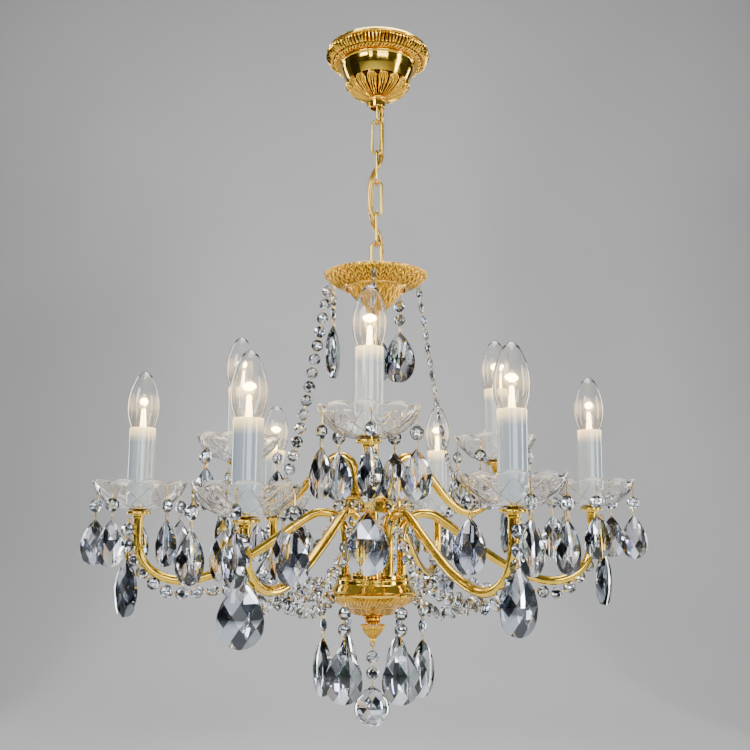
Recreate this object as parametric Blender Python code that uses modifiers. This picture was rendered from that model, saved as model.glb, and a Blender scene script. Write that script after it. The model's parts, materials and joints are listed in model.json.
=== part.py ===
"""Multi arm chandelier: two tiers of candle arms in brass and cut glass, hung on a chain from a canopy.

Metres, +Z up. The origin is the centre of the face that meets the ceiling, and the light hangs below it.
An angle of 0 points along -Y, and angles grow towards +X. Turned profiles and routes are listed in
millimetres, as (radius, height) or (x, y, z), and are scaled where they are used.
"""

import math

import bmesh
import bpy
from mathutils import Vector

MM = 0.001
GAP = 0.3  # clearance between pieces that touch, in millimetres

# Tiers of arms: the angle of the first foot, how far out the feet stand, and for each hand bent arm the way
# it points (all angles in degrees), how far its cup is from its foot, and the height of the cup's underside
LOWER = {"turn": 32, "foot": 31, "cups": ((29, 219, -546.5), (98, 219, -539.5), (161, 219, -549.5),
                                          (212, 219, -552.5), (281, 222, -549), (333.7, 219, -557.5))}
UPPER = {"turn": -1, "foot": 24, "cups": ((-2, 144, -482), (122, 149, -485), (251, 148, -489.5))}
ARM_RADIUS = 5
ARM_STEP = 23  # length of one straight stretch of an arm's tube
NUT_RADIUS = 7
NUT_HEIGHT = 5.5

# Candle: heights are counted from the cup's underside
CUP_RADIUS = 10.5
CUP_HEIGHT = 3.2
NIPPLE_RADIUS = 4.6
HOLDER_RADIUS = 11.6
HOLDER_TOP = 60
SLEEVE_RADIUS = 13.75
SLEEVE_WALL = 0.8
SLEEVE_FOOT = 7.1
SLEEVE_TOP = 91
BULB_CAP_RADIUS = 7
BULB_RADIUS = 17.4
BULB_TOP = 155
DISH_RADIUS = 50
DISH_RIM = 31
DISH_LOBES = 10
DISH_LOBE_HEIGHT = 1.8

# Chain: the first link is held inside the canopy's collar, and the last one carries the crown
LINK_WIRE = 1.7
LINK_WIDTH = 5.6  # from the link's centre to the middle of its wire
LINK_PITCH = 37.3
LINK_COUNT = 6
FIRST_CONTACT = -52.0  # where the first link hangs on the hook
CABLE_RADIUS = 2.75
CABLE_STEP = 8

# Stem and what is threaded on it
STEM_RADIUS = 5
STEM_BORE = 3.2
STEM_HOLE = STEM_RADIUS + 0.4
CROWN_PLATE = -285.5
UPPER_PLATE = -528
BASE_PLATE = -617
STEM_FOOT = -665

# Canopy
RING_RADIUS = 59.5
COLLAR_RADIUS = 8.6
COLLAR_BORE = 7.8
COLLAR_FOOT = -72
CLAMP_HEIGHT = -67

# Ball that hangs under the finial
EYE_HEIGHT = -686.2
BALL_HEIGHT = -751.5
BALL_RADIUS = 19.5

ROUND = 20  # sides of a large turned piece
SMALL_ROUND = 12
CUP_ROUND = 10

BRASS = ("polished_brass", (0.83, 0.6, 0.2), 0.14, 1.0)
CAST_BRASS = ("cast_brass", (0.78, 0.55, 0.18), 0.3, 1.0)
STEEL = ("zinc_plated_steel", (0.6, 0.6, 0.6), 0.35, 1.0)
CRYSTAL = ("crystal", (0.95, 0.96, 0.98), 0.02, 0.0)
BULB_GLASS = ("bulb_glass", (1.0, 0.93, 0.8), 0.03, 0.0)
CANDLE = ("candle_plastic", (0.93, 0.9, 0.85), 0.3, 0.0)
CABLE = ("cable_sheath", (0.72, 0.52, 0.2), 0.45, 0.2)
TERMINAL = ("terminal_plastic", (0.85, 0.85, 0.82), 0.4, 0.0)


def clear_scene():
    """Removes every object of the opened file."""
    for old in list(bpy.data.objects):
        bpy.data.objects.remove(old, do_unlink=True)


def new_collection(name):
    """A collection of this name, linked into the scene."""
    collection = bpy.data.collections.new(name)
    bpy.context.scene.collection.children.link(collection)
    return collection


def finish_of(finish):
    """The material of a (name, colour, roughness, metallic) finish, made once."""
    name, color, roughness, metallic = finish
    material = bpy.data.materials.get(name)
    if material is None:
        material = bpy.data.materials.new(name)
        material.use_nodes = True
        shader = material.node_tree.nodes["Principled BSDF"]
        shader.inputs["Base Color"].default_value = (*color, 1.0)
        shader.inputs["Roughness"].default_value = roughness
        shader.inputs["Metallic"].default_value = metallic
    return material


def place(name, data, finish, collection, location=(0, 0, 0), turn=0.0):
    """A new object with this data and finish; the location is in millimetres, the turn is about Z."""
    obj = bpy.data.objects.new(name, data)
    obj.location = [MM * value for value in location]
    obj.rotation_euler.z = turn
    if finish and not data.materials:
        data.materials.append(finish_of(finish))
    collection.objects.link(obj)
    return obj


def turned(name, profile, finish, collection, steps=ROUND, location=(0, 0, 0), closed=True):
    """A turned piece. The profile runs down the outside and, if it is closed, back up the inside."""
    mesh = bpy.data.meshes.new(name)
    points = [(MM * radius, 0, MM * height) for radius, height in profile]
    edges = [(i, i + 1) for i in range(len(points) - 1)]
    if closed:
        edges.append((len(points) - 1, 0))
    mesh.from_pydata(points, edges, [])
    obj = place(name, mesh, finish, collection, location)
    screw = obj.modifiers.new("Turn", "SCREW")
    screw.angle = math.tau
    screw.steps = screw.render_steps = steps
    screw.use_merge_vertices = True
    screw.merge_threshold = 0.00001
    screw.use_smooth_shade = True
    return obj


def wire(name, points, radius, finish, collection, cyclic=False, location=(0, 0, 0), turn=0.0):
    """A round wire or tube along the points, with eight sides and filled caps."""
    curve = bpy.data.curves.new(name, "CURVE")
    curve.dimensions = "3D"
    curve.bevel_depth = MM * radius
    curve.bevel_resolution = 2
    curve.use_fill_caps = not cyclic
    spline = curve.splines.new("POLY")
    spline.points.add(len(points) - 1)
    for target, point in zip(spline.points, points):
        target.co = (*(MM * Vector(point)), 1)
    spline.use_cyclic_u = cyclic
    return place(name, curve, finish, collection, location, turn)


def as_mesh(obj):
    """The evaluated shape of an object as a mesh with its caps welded; the object is removed."""
    bpy.context.view_layer.update()
    graph = bpy.context.evaluated_depsgraph_get()
    mesh = bpy.data.meshes.new_from_object(obj.evaluated_get(graph))
    mesh.transform(obj.matrix_world)
    work = bmesh.new()
    work.from_mesh(mesh)
    bmesh.ops.remove_doubles(work, verts=work.verts, dist=0.000001)
    bmesh.ops.recalc_face_normals(work, faces=work.faces)
    work.to_mesh(mesh)
    work.free()
    bpy.data.objects.remove(obj, do_unlink=True)
    return mesh


def joined(name, pieces, finish, collection):
    """The union of several pieces, as one mesh with smooth shading."""
    base = place(name + "_base", as_mesh(pieces[0]), None, collection)
    for number, piece in enumerate(pieces[1:]):
        other = place(f"{name}_piece_{number}", as_mesh(piece), None, collection)
        union = base.modifiers.new("Join", "BOOLEAN")
        union.operation = "UNION"
        union.object = other
        merged = as_mesh(base)
        bpy.data.objects.remove(other, do_unlink=True)
        base = place(f"{name}_base", merged, None, collection)
    mesh = as_mesh(base)
    mesh.name = name
    mesh.materials.clear()
    mesh.materials.append(finish_of(finish))
    mesh.shade_smooth()
    mesh.set_sharp_from_angle(angle=math.radians(35))
    return mesh


def cut(obj, cutter):
    """Takes the cutter's shape out of an object, and keeps the cutter out of the render."""
    cutter.hide_render = True
    cutter.display_type = "WIRE"
    difference = obj.modifiers.new("Cut", "BOOLEAN")
    difference.operation = "DIFFERENCE"
    difference.object = cutter


def turned_to(direction):
    """The rotation that lays a Z axis along a direction."""
    return Vector((0, 0, 1)).rotation_difference(direction).to_matrix()


def rods(name, centres, radius, low, high, collection, axis="Z", sides=SMALL_ROUND):
    """One mesh of parallel rods along an axis, centred at the points and reaching from low to high."""
    along = Vector((1, 0, 0)) if axis == "X" else Vector((0, 0, 1))
    work = bmesh.new()
    for centre in centres:
        rod = bmesh.ops.create_cone(
            work, cap_ends=True, segments=sides,
            radius1=MM * radius, radius2=MM * radius, depth=MM * (high - low),
        )["verts"]
        bmesh.ops.rotate(work, verts=rod, matrix=turned_to(along))
        bmesh.ops.translate(work, verts=rod, vec=MM * (Vector(centre) + along * (low + high) / 2))
    mesh = bpy.data.meshes.new(name)
    work.to_mesh(mesh)
    work.free()
    return place(name, mesh, None, collection)


def spaced(points, step):
    """Points a given step apart along the smooth curve through a route's own points."""
    route = [Vector(point) for point in points]
    ends = [2 * route[0] - route[1], *route, 2 * route[-1] - route[-2]]
    fine = []
    for before, start, end, after in zip(ends, ends[1:], ends[2:], ends[3:]):
        for part in range(16):
            t = part / 16
            fine.append(
                0.5 * (2 * start + (end - before) * t
                       + (2 * before - 5 * start + 4 * end - after) * t * t
                       + (3 * start - before - 3 * end + after) * t ** 3)
            )
    fine.append(route[-1])
    chosen, run = [fine[0]], 0.0
    for last, point in zip(fine, fine[1:]):
        run += (point - last).length
        if run >= step:
            chosen.append(point)
            run = 0.0
    if run < step / 2:
        chosen.pop()
    chosen.append(fine[-1])
    return chosen


def out_from(centre, angle, distance):
    """The point at a distance from another one, at an angle that grows from -Y towards +X."""
    x, y = centre
    return x + distance * math.sin(angle), y - distance * math.cos(angle)


def tier_places(tier):
    """(foot, aim, cup) of each arm of a tier: a point in plan, an angle, and a point with its height."""
    found = []
    for number, (degrees, reach, height) in enumerate(tier["cups"]):
        hole = math.radians(tier["turn"]) + number * math.tau / len(tier["cups"])
        foot = out_from((0, 0), hole, tier["foot"])
        aim = math.radians(degrees)
        found.append((foot, aim, (*out_from(foot, aim, reach), height)))
    return found


def foot_places(tier):
    """Where the feet of a tier's arms stand on their drum."""
    return [(*foot, 0) for foot, _, _ in tier_places(tier)]


# ---------------------------------------------------------------- canopy and what it hides


def ceiling_bracket(parts, cutters):
    """The flat bar that screws to the ceiling, with a threaded boss for the hook under its middle."""
    work = bmesh.new()
    bmesh.ops.create_cube(work, size=1)
    bmesh.ops.scale(work, vec=Vector((0.096, 0.018, 0.0025)), verts=work.verts)
    bmesh.ops.translate(work, vec=Vector((0, 0, -0.00125)), verts=work.verts)
    bar = bpy.data.meshes.new("bar")
    work.to_mesh(bar)
    work.free()
    boss = turned("boss", [(7, -2), (7, -11), (2.1, -11), (2.1, -5), (0, -5), (0, -2)], None, parts,
                  SMALL_ROUND)
    mesh = joined("ceiling_bracket", [place("bar", bar, None, parts), boss], STEEL, parts)
    bracket = place("ceiling_bracket", mesh, None, parts)
    cut(bracket, rods("screw_holes", [(-38, 0, 0), (38, 0, 0)], 2.4, -6, 4, cutters))


def ceiling_hook(parts):
    """The hook that carries the chain, threaded into the bracket's boss."""
    bottom = FIRST_CONTACT - LINK_WIRE - GAP / 2
    bowl = 3.8
    centre = bottom + bowl
    route = [(0, 0, -5.4), (0, 0, -20), (0, 0, -34), (1.4, 0, -38.5), (3.3, 0, -43)]
    for step in range(7):
        angle = math.pi * step / 6
        route.append((bowl * math.cos(angle), 0, centre - bowl * math.sin(angle)))
    route.append((-bowl, 0, centre + 5))
    wire("ceiling_hook", route, LINK_WIRE, STEEL, parts)


def terminal_block(parts):
    """The block under the bracket in which the ceiling's wires meet the cable."""
    work = bmesh.new()
    bmesh.ops.create_cube(work, size=1)
    bmesh.ops.scale(work, vec=Vector((0.022, 0.014, 0.012)), verts=work.verts)
    bmesh.ops.translate(work, vec=Vector((0.024, 0.0175, -0.0085)), verts=work.verts)
    mesh = bpy.data.meshes.new("terminal_block")
    work.to_mesh(mesh)
    work.free()
    block = place("terminal_block", mesh, TERMINAL, parts)
    edge = block.modifiers.new("Edges", "BEVEL")
    edge.width = 0.0008
    edge.segments = 1


def canopy_ring(parts):
    """The ornamental ring against the ceiling; a shelf inside it holds the cup's flange."""
    profile = [(RING_RADIUS, 0), (RING_RADIUS, -8), (56, -12.5), (50, -16.5), (46, -18.5), (45.2, -18),
               (45.2, -16), (50, -13.8), (55, -9.8), (57.5, -6), (57.5, 0)]
    turned("canopy_ring", profile, CAST_BRASS, parts)


def canopy_cup(parts):
    """The spun cup; its flange lies on the ring's shelf, and the chain passes its open neck."""
    profile = [(49.5, -11.6), (49.5, -12.8), (44.4, -13.4), (44.4, -19.5), (41, -31), (36, -41.5),
               (28, -50.5), (13, -55.8), (13, -54.6), (27.3, -49.4), (35, -40.8), (39.9, -30.6),
               (43.3, -19.4), (43.3, -11.6)]
    turned("canopy_cup", profile, BRASS, parts)


def canopy_leaf_cap(parts):
    """The cast leaf cap under the cup's bottom, which rests on the collar."""
    profile = [(38.2, -41.8), (30.6, -51.2), (16, -57.6), (11, -58.6), (8.4, -58.6), (8.4, -57.1),
               (13, -56.2), (28.8, -51), (37.2, -41)]
    turned("canopy_leaf_cap", profile, CAST_BRASS, parts)


def canopy_collar(parts, cutters):
    """The sleeve around the chain that holds the canopy up."""
    profile = [(10, -58.9), (10, -60.4), (COLLAR_RADIUS, -61), (COLLAR_RADIUS, -63), (9.3, -63.6),
               (9.3, COLLAR_FOOT + 1), (COLLAR_RADIUS, COLLAR_FOOT), (COLLAR_BORE, COLLAR_FOOT),
               (COLLAR_BORE, -58.9)]
    collar = turned("canopy_collar", profile, BRASS, parts)
    cut(collar, rods("clamp_hole", [(0, 0, CLAMP_HEIGHT)], 1.8, -14, -5, cutters, "X", 10))


def clamp_screw(parts):
    """The small screw in the collar's side that clamps the canopy to the chain."""
    shank = rods("shank", [(0, 0, CLAMP_HEIGHT)], 1.5, -11, -7.6, parts, "X", 10)
    head = rods("head", [(0, 0, CLAMP_HEIGHT)], 2.4, -12.6, -10, parts, "X", 10)
    place("clamp_screw", joined("clamp_screw", [shank, head], BRASS, parts), None, parts)


# ---------------------------------------------------------------- chain and cable


def link_route():
    """The middle of a link's wire: two straight legs and two half rounds, in the XZ plane."""
    half = LINK_PITCH / 2 + LINK_WIRE + GAP / 2 - LINK_WIDTH
    route = []
    for end in (1, -1):
        for step in range(7):
            angle = math.pi * step / 6
            across, up = LINK_WIDTH * math.cos(angle), half + LINK_WIDTH * math.sin(angle)
            route.append((end * across, 0, end * up))
    return route


def chain(parts):
    """The links; each is turned a quarter from the one above, and the first one lies in the YZ plane."""
    for number in range(LINK_COUNT):
        middle = FIRST_CONTACT - LINK_PITCH * (number + 0.5)
        turn = math.pi / 2 if number % 2 == 0 else 0.0
        wire(f"chain_link_{number + 1}", link_route(), LINK_WIRE, BRASS, parts, cyclic=True,
             location=(0, 0, middle), turn=turn)


# The cable leaves the terminal block, runs through the collar beside the chain and is woven through the
# links that lie in the YZ plane, from one side of the chain to the other, until it enters the crown.
CABLE_ROUTE = [
    (19, 17, -17.6), (16.5, 15.6, -25), (10.5, 11.6, -34), (6.4, 8.4, -42), (4.9, 6.2, -48),
    (4.9, 5, -52), (4.85, 3.2, -55.6), (4.8, 1.9, -57.8), (4.75, 0.7, -60), (4.75, 0, -65), (4.8, 0.3, -72),
    (5.2, 3, -79), (5.6, 5.2, -87), (5.6, 5.6, -100), (5.6, 5.5, -113), (5.4, 5.1, -124), (5.1, 4.9, -131),
    (4.1, 2.1, -137), (2.2, 0.6, -142), (0, 0, -146), (-2.2, -0.6, -150), (-4.3, -2.3, -155),
    (-6.1, -4.8, -161), (-7.6, -5.3, -170), (-8.4, -5.4, -182), (-7.6, -5.3, -194), (-6.2, -5.2, -203),
    (-5.0, -4.6, -208), (-4.1, -2.2, -213.5), (-2.2, -0.6, -218), (0, 0, -221.5), (2.2, 0.6, -225),
    (4.2, 2.2, -229.5), (5.4, 4.9, -235), (5.7, 5.6, -245), (6.2, 6.2, -258), (7.6, 7.6, -270),
    (9.2, 9.2, -280), (9.4, 9.4, -288), (9.4, 9.4, -294),
]


def supply_cable(parts):
    """The sheathed cable, from the terminal block to the crown's plate."""
    wire("supply_cable", spaced(CABLE_ROUTE, CABLE_STEP), CABLE_RADIUS, CABLE, parts)


# ---------------------------------------------------------------- crown, stem, drums and bowl


def crown_loop(parts):
    """The eye that screws onto the top of the stem and hangs on the last link."""
    contact = FIRST_CONTACT - LINK_PITCH * LINK_COUNT
    top = contact + LINK_WIRE + GAP / 2
    arch = [(0, LINK_WIDTH * math.cos(math.pi * step / 6),
             top - LINK_WIDTH + LINK_WIDTH * math.sin(math.pi * step / 6)) for step in range(7)]
    arch = [(0, LINK_WIDTH, CROWN_PLATE + 2), *arch, (0, -LINK_WIDTH, CROWN_PLATE + 2)]
    base = turned("base", [(0, CROWN_PLATE + 3.2), (8.6, CROWN_PLATE + 3.2), (8.6, CROWN_PLATE + GAP),
                           (0, CROWN_PLATE + GAP)], None, parts, SMALL_ROUND, closed=False)
    mesh = joined("crown_loop", [base, wire("arch", arch, LINK_WIRE, None, parts)], BRASS, parts)
    place("crown_loop", mesh, None, parts)


def crown_dish(parts, cutters):
    """The cast dish at the top of the stem, with a plate inside its rim and a hole for the cable."""
    low = CROWN_PLATE - 1.6
    profile = [(57, -274.6), (58.6, -275.4), (58.6, -278), (52, -282.8), (44, -287.6), (35.6, -292.2),
               (34.2, -292.2), (34.2, low), (STEM_HOLE, low), (STEM_HOLE, CROWN_PLATE), (36, CROWN_PLATE),
               (43.4, -285), (51, -280.6)]
    dish = turned("crown_dish", profile, CAST_BRASS, parts)
    cut(dish, rods("cable_hole", [(9.4, 9.4, 0)], 3.1, -300, -283, cutters))


def crown_cup(parts):
    """The leaf cast cone under the crown dish, slid over the stem."""
    top = CROWN_PLATE - 1.6 - GAP
    profile = [(33.4, top), (33.4, -290.5), (18.6, -308), (8, -320), (STEM_HOLE, -320.6),
               (STEM_HOLE, -318.8), (7, -318.4), (17.4, -306.8), (31.8, -290), (31.8, top)]
    turned("crown_cup", profile, CAST_BRASS, parts)


def stem(parts):
    """The tube that carries everything under the crown, with a collar above each drum."""
    top = CROWN_PLATE - 0.2
    profile = [(STEM_RADIUS, top), (STEM_RADIUS, -321.2), (7.5, -322), (7.5, -326), (STEM_RADIUS, -328),
               (STEM_RADIUS, UPPER_PLATE + 12), (8, UPPER_PLATE + 10), (8, UPPER_PLATE + GAP),
               (STEM_RADIUS, UPPER_PLATE + GAP), (STEM_RADIUS, BASE_PLATE + 9), (8.5, BASE_PLATE + 7),
               (8.5, BASE_PLATE + GAP), (STEM_RADIUS, BASE_PLATE + GAP), (STEM_RADIUS, STEM_FOOT),
               (STEM_BORE, STEM_FOOT), (STEM_BORE, top)]
    turned("stem", profile, BRASS, parts, SMALL_ROUND)


def upper_drum(parts, cutters):
    """The spun drum that the upper arms stand on, open underneath."""
    top = UPPER_PLATE
    profile = [(STEM_HOLE, top), (36, top), (37, top - 1.2), (36, top - 3), (32.5, top - 5),
               (32.5, top - 17), (31.2, top - 17), (31.2, top - 4.4), (30, top - 1.6),
               (STEM_HOLE, top - 1.6)]
    drum = turned("upper_drum", profile, BRASS, parts)
    cut(drum, rods("upper_arm_holes", foot_places(UPPER), ARM_RADIUS + 0.4, top - 4, top + 4,
                   cutters, sides=10))


def base_drum(parts, cutters):
    """The spun drum that the lower arms stand on; with the bowl it makes the case for the wiring."""
    top = BASE_PLATE
    profile = [(STEM_HOLE, top), (39, top), (40.6, top - 1.4), (43.5, top - 7), (49.4, top - 14),
               (47.6, top - 14), (42.2, top - 7.4), (39, top - 1.8), (STEM_HOLE, top - 1.8)]
    drum = turned("base_drum", profile, BRASS, parts)
    cut(drum, rods("lower_arm_holes", foot_places(LOWER), ARM_RADIUS + 0.4, top - 4, top + 4,
                   cutters, sides=10))


def base_bowl(parts):
    """The cast bowl that closes the base drum from below."""
    profile = [(49.4, -631.3), (49.2, -633.5), (45.5, -638.6), (37, -644.6), (19, -655.2),
               (10.5, -657.4), (STEM_HOLE, -657.4), (STEM_HOLE, -655.6), (18.4, -653.4), (35.8, -643.2),
               (44, -637.4), (47.5, -631.3)]
    turned("base_bowl", profile, CAST_BRASS, parts)


def ring_route(radius, centre, plane, sides=10):
    """A small round ring in the XZ or YZ plane."""
    route = []
    for step in range(sides):
        angle = math.tau * step / sides
        across, up = radius * math.cos(angle), centre + radius * math.sin(angle)
        route.append((across, 0, up) if plane == "XZ" else (0, across, up))
    return route


def finial(parts):
    """The turned knob that screws onto the foot of the stem, with an eye for the ball under it."""
    body = turned("knob", [(STEM_HOLE, -657.8), (9.6, -657.8), (10, -660), (8, -662), (8, -664.4),
                           (13, -666), (13.6, -668), (9, -674), (3, -681), (3.4, -682.6), (0, -684.8),
                           (0, -668), (STEM_HOLE, -666)], None, parts, SMALL_ROUND)
    eye = wire("eye", ring_route(2.2, EYE_HEIGHT, "XZ"), 0.6, None, parts, cyclic=True)
    place("finial", joined("finial", [body, eye], CAST_BRASS, parts), None, parts)


def drop_ball(parts):
    """The faceted ball and its two octagons on a wire; its ring hangs in the finial's eye.

    The object's origin is on the axis it swings about, the middle of the eye's lowest wire.
    """
    pivot = EYE_HEIGHT - 2.2
    ring_centre = pivot + 0.6 + 0.55 + GAP - 2.4
    ring = wire("ring", ring_route(2.4, ring_centre, "YZ"), 0.55, None, parts, cyclic=True)
    string = turned("string", [(0, ring_centre - 2.1), (0.6, ring_centre - 2.3), (0.6, -730), (2.4, -731),
                               (0, -736)], None, parts, 8, closed=False)
    pieces = [string, ring]
    for height in (-699.5, -716.5):
        work = bmesh.new()
        bmesh.ops.create_cone(work, cap_ends=True, segments=8, radius1=MM * 7, radius2=MM * 7, depth=MM * 5)
        bmesh.ops.rotate(work, verts=work.verts, matrix=turned_to(Vector((0, 1, 0))))
        bmesh.ops.translate(work, verts=work.verts, vec=MM * Vector((0, 0, height)))
        mesh = bpy.data.meshes.new("octagon")
        work.to_mesh(mesh)
        work.free()
        pieces.append(place("octagon", mesh, None, parts))
    work = bmesh.new()
    bmesh.ops.create_uvsphere(work, u_segments=12, v_segments=8, radius=MM * BALL_RADIUS)
    bmesh.ops.translate(work, verts=work.verts, vec=MM * Vector((0, 0, BALL_HEIGHT)))
    ball = bpy.data.meshes.new("ball")
    work.to_mesh(ball)
    work.free()
    pieces.append(place("ball", ball, None, parts))
    mesh = joined("drop_ball", pieces, CRYSTAL, parts)
    for vertex in mesh.vertices:
        vertex.co.z -= MM * pivot
    place("drop_ball", mesh, None, parts, (0, 0, pivot))


# ---------------------------------------------------------------- arms and lights


# The middle of an arm's tube, as (distance from the foot, height): from inside its drum to its lowest
# point, and from there up to a cup at the tier's usual height
LOWER_FALL = [(0, -624), (0, -600), (0, -576), (3, -559), (12.5, -548.5), (26, -545.5), (41, -550),
              (77, -575.5), (115, -600), (145, -613.5), (171, -618.5)]
LOWER_RISE = [(195, -613), (212, -598), (218.5, -577), (219, -558), (219, -542)]
UPPER_FALL = [(0, -534), (0, -514), (0.5, -502), (5, -489), (16, -482), (29, -485), (50, -504.5),
              (74, -529.5), (99, -542.5)]
UPPER_RISE = [(122, -537.5), (138, -521), (144, -502), (144, -482)]
CUP_FLOOR = 1.6  # how far the tube reaches into its cup


def arm_route(fall, rise, reach, height):
    """The route of one hand bent arm, whose cup stands at a distance from the foot and at a height."""
    usual_reach, usual_height = rise[-1]
    bottom = fall[-1][1]
    stretch = reach / usual_reach
    lift = (height + CUP_FLOOR - bottom) / (usual_height - bottom)
    falling = [(distance * stretch, level) for distance, level in fall]
    return falling + [(distance * stretch, bottom + (level - bottom) * lift) for distance, level in rise]


def arm_mesh(name, route, cup_z, plate, parts):
    """One arm with its foot on the Z axis: the tube, the foot's nut, and the cup with the lamp holder."""
    reach = route[-1][0]
    tube = wire("tube", spaced([(0, -distance, height) for distance, height in route], ARM_STEP),
                ARM_RADIUS, None, parts)
    nut = turned("nut", [(NUT_RADIUS, plate + NUT_HEIGHT), (NUT_RADIUS, plate + GAP), (4, plate + GAP),
                         (4, plate + NUT_HEIGHT)], None, parts, 6)
    profile = [(0, -5), (7, -5), (7.6, -1.6), (CUP_RADIUS, 0), (CUP_RADIUS, CUP_HEIGHT),
               (NIPPLE_RADIUS, CUP_HEIGHT), (NIPPLE_RADIUS, 7.2),
               (HOLDER_RADIUS, 7.2), (HOLDER_RADIUS, HOLDER_TOP), (BULB_CAP_RADIUS + 0.4, HOLDER_TOP),
               (BULB_CAP_RADIUS + 0.4, 37), (0, 37)]
    cup = turned("cup", profile[::-1], None, parts, CUP_ROUND, (0, -reach, cup_z), closed=False)
    return joined(name, [cup, tube, nut], BRASS, parts)


def arms(parts):
    """The arms of both tiers, each turned about its own foot."""
    for label, tier, fall, rise, plate in (
        ("lower", LOWER, LOWER_FALL, LOWER_RISE, BASE_PLATE),
        ("upper", UPPER, UPPER_FALL, UPPER_RISE, UPPER_PLATE),
    ):
        for number, (foot, aim, _) in enumerate(tier_places(tier)):
            _, reach, height = tier["cups"][number]
            name = f"{label}_arm_{number + 1}"
            mesh = arm_mesh(name, arm_route(fall, rise, reach, height), height, plate, parts)
            place(name, mesh, None, parts, (*foot, 0), aim)


def dish_mesh(parts):
    """The glass dish under a candle. Its rim rises and falls in lobes."""
    profile = [(DISH_RADIUS, DISH_RIM), (36, 12.4), (15.5, 3.6), (5.2, 3.6), (5.2, 6.8),
               (14.8, 6.8), (34.4, 15.4), (48.2, DISH_RIM + 1)]
    mesh = as_mesh(turned("dish", profile, None, parts, 2 * DISH_LOBES))
    for vertex in mesh.vertices:
        radius = math.hypot(vertex.co.x, vertex.co.y)
        share = max(0.0, (radius / MM - 40) / (DISH_RADIUS - 40))
        angle = math.atan2(vertex.co.x, -vertex.co.y)
        vertex.co.z += MM * DISH_LOBE_HEIGHT * share * math.cos(DISH_LOBES * angle)
    mesh.materials.append(finish_of(CRYSTAL))
    return mesh


def bulb_mesh(parts):
    """The candle bulb with its screw cap, standing on the axis it turns about."""
    profile = [(0, BULB_TOP), (2, BULB_TOP - 1), (10.4, 132), (BULB_RADIUS, 112), (16, 99), (12.2, 91.5),
               (BULB_CAP_RADIUS, 72), (BULB_CAP_RADIUS, 42), (0, 38)]
    mesh = as_mesh(turned("bulb", profile, None, parts, SMALL_ROUND, closed=False))
    mesh.materials.append(finish_of(BULB_GLASS))
    mesh.shade_smooth()
    return mesh


def sleeve_mesh(parts):
    """The plastic candle sleeve around the lamp holder."""
    bore = SLEEVE_RADIUS - SLEEVE_WALL
    profile = [(SLEEVE_RADIUS, SLEEVE_TOP), (SLEEVE_RADIUS, SLEEVE_FOOT), (bore, SLEEVE_FOOT),
               (bore, SLEEVE_TOP)]
    mesh = as_mesh(turned("sleeve", profile, None, parts, SMALL_ROUND))
    mesh.materials.append(finish_of(CANDLE))
    mesh.shade_smooth()
    mesh.set_sharp_from_angle(angle=math.radians(35))
    return mesh


def lights(parts):
    """The dish, the sleeve and the bulb of every candle."""
    meshes = {"dish": dish_mesh(parts), "candle": sleeve_mesh(parts), "bulb": bulb_mesh(parts)}
    for label, tier in (("lower", LOWER), ("upper", UPPER)):
        for number, (_, aim, cup) in enumerate(tier_places(tier)):
            for kind, mesh in meshes.items():
                place(f"{label}_{kind}_{number + 1}", mesh, None, parts, cup, aim)


def main():
    """Builds the chandelier from the ceiling down."""
    clear_scene()
    parts = new_collection("multi_arm_chandelier")
    cutters = new_collection("cutters")
    ceiling_bracket(parts, cutters)
    ceiling_hook(parts)
    terminal_block(parts)
    canopy_ring(parts)
    canopy_cup(parts)
    canopy_leaf_cap(parts)
    canopy_collar(parts, cutters)
    clamp_screw(parts)
    chain(parts)
    supply_cable(parts)
    crown_loop(parts)
    crown_dish(parts, cutters)
    crown_cup(parts)
    stem(parts)
    upper_drum(parts, cutters)
    base_drum(parts, cutters)
    base_bowl(parts)
    finial(parts)
    drop_ball(parts)
    arms(parts)
    lights(parts)


main()
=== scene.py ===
"""Looks of the multi arm chandelier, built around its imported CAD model.

Metres, +Z up; the origin is the centre of the face that meets the ceiling. An angle of 0 points along -Y,
towards the photograph's viewpoint, and angles grow towards +X. Outlines and routes are listed in
millimetres, as (radius, height) or (x, y, z), and are scaled where a shape is made from them.
"""

import json
import math
import random

import bmesh
import bpy
from mathutils import Matrix, Vector


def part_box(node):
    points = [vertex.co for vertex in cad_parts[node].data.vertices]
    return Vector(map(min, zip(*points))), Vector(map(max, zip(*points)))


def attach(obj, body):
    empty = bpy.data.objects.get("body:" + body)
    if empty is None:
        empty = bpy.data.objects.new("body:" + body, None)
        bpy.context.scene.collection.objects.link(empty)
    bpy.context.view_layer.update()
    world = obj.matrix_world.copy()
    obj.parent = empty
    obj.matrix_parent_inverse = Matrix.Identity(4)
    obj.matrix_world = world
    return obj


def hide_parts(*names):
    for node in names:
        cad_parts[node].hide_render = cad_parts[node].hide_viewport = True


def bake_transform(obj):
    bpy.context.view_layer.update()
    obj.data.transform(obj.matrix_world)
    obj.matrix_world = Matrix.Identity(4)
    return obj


MM = 0.001
UP = Vector((0, 0, 1))
random.seed(7)

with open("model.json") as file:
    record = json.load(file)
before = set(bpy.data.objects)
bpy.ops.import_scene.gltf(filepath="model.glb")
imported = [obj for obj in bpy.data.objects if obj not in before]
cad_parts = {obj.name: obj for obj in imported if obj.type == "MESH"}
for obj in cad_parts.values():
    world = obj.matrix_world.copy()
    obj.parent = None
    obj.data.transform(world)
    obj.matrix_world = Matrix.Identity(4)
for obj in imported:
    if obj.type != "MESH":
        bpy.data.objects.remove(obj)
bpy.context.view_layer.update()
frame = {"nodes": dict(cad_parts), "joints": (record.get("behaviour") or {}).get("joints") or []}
JOINTS = {joint["name"]: joint for joint in frame["joints"]}

# ---------------------------------------------------------------- sizes, in millimetres, and shares

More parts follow.
